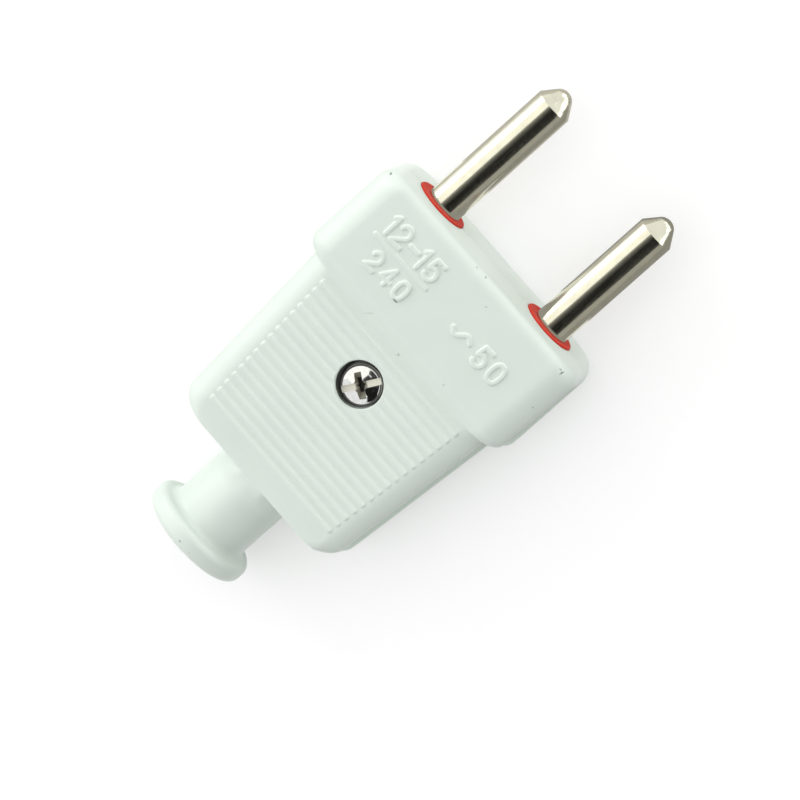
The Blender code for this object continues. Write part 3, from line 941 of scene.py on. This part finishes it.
def cross_wing(top, bottom):
    """Tapered wing of the cross recess, wide at the top and narrow at the bottom."""
    half_span = screw_cross_span / 2
    half_width = screw_cross_share * screw_slot_width / 2
    rings = []
    for z, reach, width in ((top, 1.0, 1.0), (bottom, cross_floor_span_share, cross_floor_width_share)):
        x, y = half_span * reach, half_width * width
        rings.append([(x, y, z), (-x, y, z), (-x, -y, z), (x, -y, z)])
    return spun_round(joined("cross_tool", rings), math.pi / 2, "Z")


def star_hole(top, bottom):
    """Tapered hole in the middle of the cross recess."""
    levels = ((top, star_reach), (bottom, star_floor_reach))
    return joined("star_tool", [[(r, 0, z), (0, r, z), (-r, 0, z), (0, -r, z)] for z, r in levels])


def soften_edges(obj, low, width):
    """Round the sharp edges that lie above a height, as wear has done."""
    bm = bmesh.new()
    bm.from_mesh(obj.data)
    bmesh.ops.remove_doubles(bm, verts=bm.verts[:], dist=small_merge)
    sharp = []
    for edge in bm.edges:
        if edge.is_manifold and edge.calc_face_angle() > burr_angle:
            if min(vert.co.z for vert in edge.verts) > low:
                sharp.append(edge)
    bevel = {"offset": width, "segments": 2, "profile": 0.5, "affect": "EDGES", "clamp_overlap": True}
    bmesh.ops.bevel(bm, geom=sharp, **bevel)
    bm.to_mesh(obj.data)
    bm.free()


def housing_screw():
    """Screw with a slot and a cross recess, whose head leans and lies a little off its shank."""
    head = (screw_head_diameter / 2, screw_head_height, screw_head_edge, screw_head_dome)
    obj = screw("case_screw", head, screw_diameter / 2, screw_pitch, screw_length)
    top = screw_head_height + recess_overrun
    bottom = screw_head_height - screw_cross_depth
    slot = slot_tool(screw_head_diameter, screw_slot_width, screw_head_height - screw_slot_depth, top)
    cut(obj, slot, cross_wing(top, bottom), star_hole(top, bottom - recess_overrun))
    soften_edges(obj, screw_head_height / 2, screw_burr)
    spun_round(obj, screw_turn, "Z")
    for vert in obj.data.vertices:
        if vert.co.z > screw_head_foot:
            vert.co.z += screw_head_lean * vert.co.x
            vert.co.x += screw_head_shift[0]
            vert.co.y += screw_head_shift[1]
    return moved(obj, y=-screw_station, z=screw_seat + fit_gap)


def housing_nut():
    low = nut_sink - body_thickness / 2
    high = low + nut_height
    obj = hexagon("case_nut", nut_across_flats, low, high)
    corner = nut_across_flats / math.sqrt(3)
    flat = nut_across_flats / 2
    drop = (corner - flat) * nut_chamfer_drop
    half = nut_height / 2
    lower = [
        (0, -half - nut_tool_rise),
        (flat * nut_chamfer_start, -half - nut_tool_rise),
        (corner + nut_tool_gap, drop - half),
    ]
    profile = lower + [(radius, -z) for radius, z in lower[::-1]]
    middle = (low + high) / 2
    chamfer = turned("nut_chamfer_tool", [(radius, middle + z) for radius, z in profile], "Z", lathe_steps)
    combine(obj, chamfer, "INTERSECT")
    cut(obj, post(screw_diameter + 2 * fit_gap, low - cut_overrun, high + cut_overrun))
    return moved(obj, y=-screw_station)


def cord_clamp():
    """Bar with an arched underside and rounded edges, held by a screw at each end."""
    half = clamp_length / 2
    arch = clamp_arch_width / 2
    outline = [(half, 0), (half, clamp_height), (-half, clamp_height), (-half, 0)]
    for index in range(2 * arc_steps + 1):
        share = index / (2 * arc_steps)
        outline.append((-arch + 2 * arch * share, clamp_arch_height * math.sin(math.pi * share)))
    edges = [(inset, along - clamp_width / 2) for along, inset in rounding(clamp_edge_round, bar_edge_steps)]
    edges += [(inset, -y) for inset, y in edges[::-1]]
    rings = []
    for inset, y in edges:
        across = (half - inset) / half
        up = (clamp_height - 2 * inset) / clamp_height
        rings.append([(x * across, y, inset + z * up) for x, z in outline])
    obj = joined("cord_bar", rings)
    width = clamp_screw_diameter + 2 * fit_gap
    for side in (-1, 1):
        x = side * clamp_screw_spacing / 2
        cut(obj, post(width, -cut_overrun, clamp_height + cut_overrun, x))
    return moved(obj, y=-clamp_station, z=clamp_boss_top + fit_gap)


def finish_piece(obj, node, material):
    """Set a piece in the frame in place of its node, with its finish and even shading."""
    obj.data.transform(to_row)
    bm = bmesh.new()
    bm.from_mesh(obj.data)
    bmesh.ops.remove_doubles(bm, verts=bm.verts[:], dist=small_merge)
    bmesh.ops.dissolve_degenerate(bm, edges=bm.edges[:], dist=small_merge)
    bm.to_mesh(obj.data)
    bm.free()
    for polygon in obj.data.polygons:
        polygon.use_smooth = True
    obj.data.set_sharp_from_angle(angle=smooth_angle)
    obj.data.materials.clear()
    obj.data.materials.append(material)
    normals = obj.modifiers.new("normals", "WEIGHTED_NORMAL")
    normals.keep_sharp = True
    normals.weight = 100
    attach(obj, "root")
    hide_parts(node)
    return obj


def new_material(name):
    material = bpy.data.materials.new(name)
    material.use_nodes = True
    tree = material.node_tree
    return material, tree, tree.nodes["Principled BSDF"]


def set_inputs(tree, node, inputs):
    """Give each input its plain value, or link it to the socket that makes it."""
    for key, value in inputs.items():
        if isinstance(value, NodeSocket):
            tree.links.new(value, node.inputs[key])
        else:
            node.inputs[key].default_value = value


def added(tree, kind, inputs, **settings):
    """Add a shader node with its settings and inputs, and return its outputs."""
    node = tree.nodes.new(kind)
    for name, value in settings.items():
        setattr(node, name, value)
    set_inputs(tree, node, inputs)
    return node.outputs


def math_node(tree, operation, first, second):
    return added(tree, "ShaderNodeMath", {0: first, 1: second}, operation=operation)[0]


def product(tree, first, second):
    return math_node(tree, "MULTIPLY", first, second)


def object_place(tree):
    return added(tree, "ShaderNodeTexCoord", {})["Object"]


def axes(tree, place):
    return added(tree, "ShaderNodeSeparateXYZ", {0: place})


def stretched(tree, place, scales):
    return added(tree, "ShaderNodeMapping", {"Vector": place, "Scale": scales})["Vector"]


def local_place(tree, place, x, y, turn, scales):
    """Place as measured from a point on the broad face, along turned and scaled axes."""
    inputs = {"Vector": place, "Location": (x, y, 0.0), "Rotation": (0.0, 0.0, turn), "Scale": scales}
    return added(tree, "ShaderNodeMapping", inputs, vector_type="TEXTURE")["Vector"]


def noise(tree, place, scale, detail):
    return added(tree, "ShaderNodeTexNoise", {"Vector": place, "Scale": scale, "Detail": detail})["Fac"]


def ranged(tree, value, span, result, soft=False):
    """Turn a span of values into another, in a straight line or softly."""
    (low, high), (start, end) = span, result
    inputs = {"Value": value, "From Min": low, "From Max": high, "To Min": start, "To Max": end}
    kind = "SMOOTHSTEP" if soft else "LINEAR"
    return added(tree, "ShaderNodeMapRange", inputs, interpolation_type=kind)["Result"]


def blended(tree, share, first, second):
    """Mix two colours, each a plain colour or a socket, by a share."""
    pair = [value if isinstance(value, NodeSocket) else (*value, 1.0) for value in (first, second)]
    return added(tree, "ShaderNodeMix", {0: share, 6: pair[0], 7: pair[1]}, data_type="RGBA")[2]


def bumped(tree, height, strength, distance, below=None):
    inputs = {"Strength": strength, "Distance": distance, "Height": height}
    if below:
        inputs["Normal"] = below
    return added(tree, "ShaderNodeBump", inputs)["Normal"]


def distance_from(tree, place, point=(0.0, 0.0, 0.0)):
    return added(tree, "ShaderNodeVectorMath", {0: place, 1: point}, operation="DISTANCE")["Value"]


def tinted(colour, factor, limit=1.0):
    return tuple(min(limit, channel * factor) for channel in colour)


# Spans that values run over, and scales that drop the height.
whole = (0.0, 1.0)
faded = (1.0, 0.0)
wide_span = (0.3, 0.7)
flat = (1.0, 1.0, 0.0)

# Painted shade on the counterbore's wall, darker on the left: distances from its axis, heights and places
# across the plug.
painted_shade_reach = (0.00305, 0.00312)
painted_shade_heights = (0.0135, 0.01378)
painted_shade_sides = (-0.001, 0.0026)
upper_heights = (0.0095, 0.0105)

# Looks of the metal: where the pins' noses are dented, and depths and reaches on the housing screw.
pin_speck_colour = (0.12, 0.11, 0.09)
nose_span = (0.0322, 0.0336)
recess_dark_depths = (0.0013, 0.001)
worn_depths = (0.00016, 0.00009)
worn_reach = (0.0019, 0.002)
arm_reach = (0.0006, 0.0008)
worn_colour = (0.98, 0.96, 0.86)
arm_colour = (0.2, 0.19, 0.13)
recess_colour = (0.025, 0.025, 0.018)

# Specks and scratches on the upper face: place, turn in degrees, length, width in millimetres, strength.
specks = (
    (-15.87, 14.05, 20.0, 0.42, 0.3, 0.8),
    (14.62, 13.95, 75.0, 0.75, 0.24, 0.8),
    (14.25, 14.15, -10.0, 0.5, 0.2, 0.5),
    (3.11, 12.46, 35.0, 0.55, 0.2, 0.3),
    (0.53, 14.64, 0.0, 0.4, 0.25, 0.45),
    (-1.03, 14.62, 0.0, 0.35, 0.22, 0.4),
    (6.59, 2.53, 10.0, 0.4, 0.35, 0.22),
    (0.42, 0.59, 50.0, 0.75, 0.2, 0.3),
    (0.42, 0.69, -35.0, 0.6, 0.16, 0.25),
    (-5.41, 1.38, 52.0, 1.5, 0.16, 0.25),
    (-0.35, -34.2, 15.0, 0.45, 0.3, 0.5),
    (1.45, -34.3, -30.0, 0.4, 0.16, 0.3),
    (15.4, 8.6, 0.0, 0.35, 0.2, 0.35),
    (-4.5, 4.85, -5.0, 0.85, 0.3, 0.9),
    (-3.9, 11.75, 60.0, 0.6, 0.18, 0.3),
    (-10.35, 4.9, 0.0, 0.5, 0.16, 0.4),
)


def white_plastic(colours, darkened):
    """Glossy moulding with faint flow marks, a fine grain and, on the upper shell, grime specks and painted
    shade.
    """
    material, tree, shader = new_material("housing_plastic" if darkened else "lower_plastic")
    place = object_place(tree)
    shade = ranged(tree, noise(tree, place, 160.0, 3.0), wide_span, whole)
    colour = blended(tree, shade, tinted(colours.housing, 0.985), tinted(colours.housing, 1.01))
    if darkened:
        colour = with_dirt_and_shade(tree, place, colour, colours)
    flow = bumped(tree, noise(tree, place, 240.0, 2.0), 0.25, 0.00004)
    inputs = {
        "Base Color": colour,
        "Roughness": ranged(tree, noise(tree, place, 420.0, 4.0), wide_span, (0.3, 0.4)),
        "Normal": bumped(tree, noise(tree, place, 5200.0, 2.0), 0.18, 0.000012, flow),
        "Subsurface Weight": 0.08,
        "Subsurface Radius": (1.0, 1.0, 0.9),
        "Subsurface Scale": 0.0006,
    }
    set_inputs(tree, shader, inputs)
    return material


def with_dirt_and_shade(tree, place, colour, colours):
    """Painted shade on the counterbore's wall, darker on the left, and grime specks on the upper face."""
    # Painted shade on the counterbore's wall: near its axis, below the broad face, darker on the left.
    across = distance_from(tree, stretched(tree, place, flat), (0.0, front_y - screw_station, 0.0))
    inside = ranged(tree, across, painted_shade_reach, faded)
    parts = axes(tree, place)
    deep = ranged(tree, parts["Z"], painted_shade_heights, (0.97, 0.0), True)
    deep = product(tree, deep, ranged(tree, parts["X"], painted_shade_sides, (1.0, 0.5), True))
    colour = blended(tree, product(tree, inside, deep), colour, colours.dirt_and_shade)
    ragged = ranged(tree, noise(tree, place, 6000.0, 2.0), wide_span, (-0.35, 0.35))
    upper = ranged(tree, parts["Z"], upper_heights, whole)
    for x, y, turn, length, width, strength in specks:
        scales = (length / 2 / millimetres, width / 2 / millimetres, 1.0)
        near = local_place(tree, place, x / millimetres, y / millimetres, math.radians(turn), scales)
        reach = math_node(tree, "ADD", distance_from(tree, stretched(tree, near, flat)), ragged)
        share = product(tree, ranged(tree, reach, (0.3, 1.1), (strength, 0.0), True), upper)
        colour = blended(tree, share, colour, colours.dirt_and_shade)
    return colour


def nickel_plate(colours):
    """Bright plate with fine lengthwise wiping marks, a few specks and a dented nose."""
    material, tree, shader = new_material("nickel_plate")
    place = object_place(tree)
    streaks = noise(tree, stretched(tree, place, (1.0, 0.06, 1.0)), 3800.0, 3.0)
    shade = ranged(tree, noise(tree, place, 700.0, 3.0), (0.35, 0.75), whole)
    colour = blended(tree, shade, colours.pins, tinted(colours.pins, 0.9))
    dots = added(tree, "ShaderNodeTexVoronoi", {"Scale": 900.0, "Vector": place})["Distance"]
    pits = ranged(tree, dots, (0.06, 0.1), faded)
    sparse = ranged(tree, noise(tree, place, 500.0, 1.0), (0.6, 0.62), (0.0, 0.6))
    marks = bumped(tree, streaks, 0.12, 0.000006)
    waves = bumped(tree, noise(tree, place, 900.0, 2.0), 0.1, 0.00002, marks)
    nose = ranged(tree, axes(tree, place)["Y"], nose_span, whole, True)
    dents = product(tree, nose, noise(tree, place, 1700.0, 4.0))
    inputs = {
        "Base Color": blended(tree, product(tree, pits, sparse), colour, pin_speck_colour),
        "Metallic": 1.0,
        "Roughness": ranged(tree, streaks, wide_span, (0.13, 0.19)),
        "Normal": bumped(tree, dents, 0.6, 0.00017, waves),
    }
    set_inputs(tree, shader, inputs)
    return material


def red_plastic(colours):
    """Satin red moulding with faint changes of shade."""
    material, tree, shader = new_material("red_plastic")
    place = object_place(tree)
    shade = ranged(tree, noise(tree, place, 900.0, 3.0), wide_span, whole)
    inputs = {
        "Base Color": blended(tree, shade, tinted(colours.collars, 0.88), colours.collars),
        "Roughness": ranged(tree, shade, whole, (0.5, 0.42)),
        "Specular IOR Level": 0.12,
        "Normal": bumped(tree, noise(tree, place, 6000.0, 2.0), 0.25, 0.000012),
        "Subsurface Weight": 0.1,
        "Subsurface Radius": (1.0, 0.3, 0.2),
        "Subsurface Scale": 0.0004,
    }
    set_inputs(tree, shader, inputs)
    return material


def plated(name, colour, roughness):
    """Plated or turned metal with small variations of tint and gloss."""
    material, tree, shader = new_material(name)
    place = object_place(tree)
    shade = ranged(tree, noise(tree, place, 1400.0, 3.0), (0.35, 0.65), whole)
    inputs = {
        "Base Color": blended(tree, shade, tinted(colour, 0.86), colour),
        "Metallic": 1.0,
        "Roughness": ranged(tree, noise(tree, place, 2600.0, 3.0), wide_span, roughness),
        "Normal": bumped(tree, noise(tree, place, 1800.0, 2.0), 0.35, 0.00003),
    }
    set_inputs(tree, shader, inputs)
    return material


def screw_plate(colours):
    """Bright plate whose slot is duller and lighter, whose cross arms are darker and whose recess is darker
    towards the bottom.
    """
    material, tree, shader = new_material("screw_plate")
    place = object_place(tree)
    parts = axes(tree, place)
    top = top_z / 2 + screw_seat + fit_gap + screw_head_height
    # Darker towards the bottom of the recess.
    darkened = ranged(tree, parts["Z"], [top - depth for depth in recess_dark_depths], faded, True)
    x, y = screw_head_shift
    near = local_place(tree, place, x, front_y - screw_station + y, screw_turn, (1.0, 1.0, 1.0))
    along = math_node(tree, "ABSOLUTE", axes(tree, near)["X"], 0.0)
    arms = ranged(tree, along, arm_reach, (0.85, 0.0), True)
    reach = distance_from(tree, stretched(tree, near, flat))
    dome = screw_head_dome / (screw_head_diameter / 2 - screw_head_edge) ** 2
    fall = product(tree, product(tree, reach, reach), dome)
    lean = product(tree, parts["X"], screw_head_lean)
    level = math_node(tree, "SUBTRACT", math_node(tree, "ADD", parts["Z"], fall), lean)
    worn = ranged(tree, level, [top - depth for depth in worn_depths], faded, True)
    inner = ranged(tree, reach, worn_reach, faded)
    arms = product(tree, product(tree, arms, worn), inner)
    shade = ranged(tree, noise(tree, place, 2400.0, 3.0), (0.35, 0.65), whole)
    colour = blended(tree, shade, tinted(colours.steel, 0.9), colours.steel)
    colour = blended(tree, worn, colour, worn_colour)
    colour = blended(tree, arms, colour, arm_colour)
    colour = blended(tree, darkened, colour, recess_colour)
    inputs = {
        "Base Color": colour,
        "Metallic": ranged(tree, worn, whole, faded),
        "Roughness": ranged(tree, worn, whole, (0.1, 0.45)),
        "Normal": bumped(tree, noise(tree, place, 1500.0, 2.0), 0.18, 0.00002),
    }
    set_inputs(tree, shader, inputs)
    return material


pin_sides = (("left", -1, pin_play), ("right", 1, 0.0))


class PLUG_OT_housing(Operator):
    """Build both shells with ribs and raised marks."""

    bl_idname = "plug.housing"
    bl_label = "Housing"

    def execute(self, context):
        colours = context.scene.plug_colours
        sizes = context.scene.plug_sizes
        upper = finish_piece(upper_shell(sizes), "top_shell", white_plastic(colours, True))
        lower = finish_piece(lower_shell(sizes), "bottom_shell", white_plastic(colours, False))
        upper.visible_glossy = False
        lower.visible_glossy = False
        return {"FINISHED"}


class PLUG_OT_pins(Operator):
    """Build the pins and their red collars."""

    bl_idname = "plug.pins"
    bl_label = "Pins and collars"

    def execute(self, context):
        nickel = nickel_plate(context.scene.plug_colours)
        red = red_plastic(context.scene.plug_colours)
        for word, side, push_out in pin_sides:
            made = finish_piece(pin(word + "_plug_pin", side, push_out), word + "_pin", nickel)
            made.visible_glossy = False
            finish_piece(collar(word + "_ring", side), word + "_collar", red)
        return {"FINISHED"}


class PLUG_OT_screws(Operator):
    """Build the housing screw and nut, the terminal screws and the cord clamp."""

    bl_idname = "plug.screws"
    bl_label = "Screws and clamp"

    def execute(self, context):
        colours = context.scene.plug_colours
        steel = plated("zinc_plate", colours.steel, (0.18, 0.3))
        brass = plated("turned_brass", colours.brass, (0.22, 0.36))
        finish_piece(housing_screw(), "housing_screw", screw_plate(colours))
        finish_piece(housing_nut(), "housing_nut", steel)
        finish_piece(cord_clamp(), "cord_clamp", white_plastic(colours, False))
        high = clamp_boss_top + clamp_height + 2 * fit_gap
        for word, side, push_out in pin_sides:
            obj = small_screw(word + "_wire_screw", terminal_screw_diameter / 2, terminal_screw_length)
            moved(obj, pin_place(side), push_out - terminal_station, block_top + fit_gap)
            finish_piece(obj, word + "_terminal_screw", brass)
            obj = small_screw(word + "_bar_screw", clamp_screw_diameter / 2, clamp_screw_length)
            moved(obj, side * clamp_screw_spacing / 2, -clamp_station, high)
            finish_piece(obj, word + "_clamp_screw", steel)
        return {"FINISHED"}


# Stage: the floor and the sky, places, widths and heights of the lights, and how far cards stand off.
key_light = ((-0.5, 0.0, 0.15), 0.3, 0.3)
front_light = ((0.15, 0.6, 0.07), 0.8, 0.12)
white = (1.0, 1.0, 1.0, 1.0)
floor_half = 20.0
floor_glow = 0.32
sky_span = (-0.9, 0.1)
dim_sky_share = 0.2
card_gap = 0.0001
face_gap = 0.00003
ring_back = 0.0002
wall_foot = 0.0004
wall_drop = 0.0005
wall_brightness = 0.12
ring_brightness = 0.35
card_tint = (1.0, 0.98, 0.94)

# Cards that polished metal mirrors: ranges of x, y and z, and brightness.
cards = (
    ("left_card", (-0.9, -0.18), (-0.32, 0.4), (0.05, 0.6), 1.35),
    ("dusk_card", (-0.18, -0.05), (-0.32, 0.0), (0.6, 0.6), 0.22),
    ("upper_card", (-0.24, -0.05), (0.0, 0.28), (0.6, 0.6), 0.05),
    ("dim_card", (-0.05, 0.08), (-0.32, 0.4), (0.6, 0.6), 0.08),
    ("dark_card", (0.08, 0.35), (-0.32, 0.4), (0.6, 0.6), 0.01),
    ("deep_card", (0.35, 0.6), (-0.32, 0.06), (0.6, 0.6), 0.01),
    ("far_card", (0.6, 1.05), (-0.32, 0.06), (0.6, 0.6), 0.03),
    ("gap_card", (-0.0135, 0.0135), (0.0148, 0.0148), (0.0, 0.0109), 0.35),
    ("side_card", (1.05, 1.05), (-0.9, 0.4), (0.0, 0.6), 0.42),
    ("near_right_card", (0.02, 0.95), (-0.3, 0.1), (0.0003, 0.0003), 0.33),
    ("near_left_card", (-0.035, -0.02), (-0.3, 0.1), (0.0003, 0.0003), 0.66),
    ("front_right_card", (0.0, 0.02), (0.0172, 0.1), (0.0003, 0.0003), 0.33),
    ("front_left_card", (-0.02, 0.0), (0.0185, 0.1), (0.0003, 0.0003), 0.6),
)


def camera_rays(tree):
    """One where the stage itself is seen, straight or in metal, and zero where it lights the plug."""
    rays = added(tree, "ShaderNodeLightPath", {})
    straight = math_node(tree, "MAXIMUM", rays["Is Camera Ray"], rays["Is Glossy Ray"])
    return math_node(tree, "MAXIMUM", straight, rays["Is Transmission Ray"])


def make_world(strength):
    """White sky that is dimmer towards the right."""
    world = bpy.data.worlds.new("studio")
    bpy.context.scene.world = world
    world.use_nodes = True
    tree = world.node_tree
    place = added(tree, "ShaderNodeTexCoord", {})["Generated"]
    inputs = {0: place, 1: (-1.0, 0.0, 0.0)}
    leftness = added(tree, "ShaderNodeVectorMath", inputs, operation="DOT_PRODUCT")["Value"]
    fade = ranged(tree, leftness, sky_span, (strength * dim_sky_share, strength))
    set_inputs(tree, tree.nodes["Background"], {"Color": white, "Strength": fade})
    soft = tree.nodes["Background"].outputs[0]
    seen = added(tree, "ShaderNodeBackground", {"Color": white, "Strength": 1.0})[0]
    mixed = added(tree, "ShaderNodeMixShader", {0: camera_rays(tree), 1: soft, 2: seen})[0]
    set_inputs(tree, tree.nodes["World Output"], {"Surface": mixed})


def make_floor(colour):
    material, tree, shader = new_material("floor_white")
    inputs = {
        "Base Color": (*colour, 1.0),
        "Roughness": 0.9,
        "Specular IOR Level": 0.0,
        "Emission Color": white,
        "Emission Strength": product(tree, camera_rays(tree), floor_glow),
    }
    set_inputs(tree, shader, inputs)
    signs = ((-1, -1), (1, -1), (1, 1), (-1, 1))
    floor = plain_object("floor", [(x * floor_half, y * floor_half, 0) for x, y in signs], [(0, 1, 2, 3)])
    floor.data.materials.append(material)


def card(obj, brightness):
    """Make an object a card that only polished metal and gloss can see."""
    material, tree, shader = new_material(obj.name + "_card")
    colour = (*tinted(card_tint, brightness, 2.0), 1.0)
    glow = added(tree, "ShaderNodeEmission", {"Color": colour})[0]
    set_inputs(tree, tree.nodes["Material Output"], {"Surface": glow})
    obj.data.materials.append(material)
    obj.visible_camera = False
    obj.visible_diffuse = False
    obj.visible_shadow = False
    obj.visible_transmission = False


def flat_card(name, x_range, y_range, z_range, brightness):
    """Card that runs from its low to its high edge along X or, where both its y are the same, upwards."""
    (left, right), (near, far), (low, high) = x_range, y_range, z_range
    corners = [(left, near, low), (right, near, high), (right, far, high), (left, far, low)]
    if near == far:
        corners = [(left, near, low), (right, near, low), (right, far, high), (left, far, high)]
    card(plain_object(name, corners, [(0, 1, 2, 3)]), brightness)


def wall_card():
    """Dark card round the housing screw's head that only its polished rim mirrors: painted shade in the
    rim's reflection.
    """
    radius = counterbore_diameter / 2 + card_gap
    profile = [(radius, screw_seat + wall_foot), (radius, body_thickness / 2 - wall_drop)]
    wall = moved(turned("wall_card", profile, "Z", card_steps), y=-screw_station)
    wall.data.transform(to_row)
    card(wall, wall_brightness)


def ring_card(side):
    """Grey cover over a red collar's face and rim, so that no pin mirrors their red."""
    face = collar_stand_out + face_gap
    outer = collar_diameter / 2 + card_gap
    profile = [(pin_diameter / 2 + card_gap, face), (outer, face), (outer, -ring_back)]
    ring = moved(turned("ring_card", profile, "Y", card_steps), side * pin_spacing / 2)
    ring.data.transform(to_row)
    card(ring, ring_brightness)


def soft_box(name, place, width, height, power):
    """Broad light that points at the plug."""
    data = bpy.data.lights.new(name, "AREA")
    data.shape = "RECTANGLE"
    data.size = width
    data.size_y = height
    data.energy = power
    light = placed(name, data)
    light.location = place
    light.rotation_euler = (-Vector(place)).to_track_quat("-Z", "Y").to_euler()


def make_camera():
    data = bpy.data.cameras.new("camera")
    data.lens = camera_lens
    data.sensor_width = camera_sensor
    data.clip_start, data.clip_end = camera_clip
    camera = placed("camera", data)
    turn = Matrix((camera_right, camera_up, camera_back)).transposed().to_4x4()
    camera.matrix_world = Matrix.Translation(camera_place) @ turn
    bpy.context.scene.camera = camera


class PLUG_OT_stage(Operator):
    """Set up the floor, the soft light and the camera."""

    bl_idname = "plug.stage"
    bl_label = "Stage"

    def execute(self, context):
        scene = context.scene
        scene.view_settings.view_transform = "Standard"
        stage = scene.plug_stage
        make_world(stage.sky_strength)
        make_floor(scene.plug_colours.floor)
        for row in cards:
            flat_card(*row)
        wall_card()
        ring_card(-1)
        ring_card(1)
        soft_box("key", *key_light, stage.key_power)
        soft_box("front", *front_light, stage.front_power)
        make_camera()
        return {"FINISHED"}


class PLUG_PT_looks(Panel):
    bl_idname = "PLUG_PT_looks"
    bl_label = "Plug looks"
    bl_space_type = "VIEW_3D"
    bl_region_type = "UI"
    bl_category = "Plug"

    def draw(self, context):
        for step in steps:
            self.layout.operator(step.bl_idname)


steps = (PLUG_OT_stage, PLUG_OT_housing, PLUG_OT_pins, PLUG_OT_screws)
classes = (PlugColours, PlugSizes, StageSizes, *steps, PLUG_PT_looks)


def register():
    for made in classes:
        bpy.utils.register_class(made)
    bpy.types.Scene.plug_colours = PointerProperty(type=PlugColours)
    bpy.types.Scene.plug_sizes = PointerProperty(type=PlugSizes)
    bpy.types.Scene.plug_stage = PointerProperty(type=StageSizes)


def unregister():
    del bpy.types.Scene.plug_stage
    del bpy.types.Scene.plug_sizes
    del bpy.types.Scene.plug_colours
    for made in reversed(classes):
        bpy.utils.unregister_class(made)


def main():
    register()
    bpy.ops.plug.stage()
    bpy.ops.plug.housing()
    bpy.ops.plug.pins()
    bpy.ops.plug.screws()


if __name__ == "__main__":
    main()
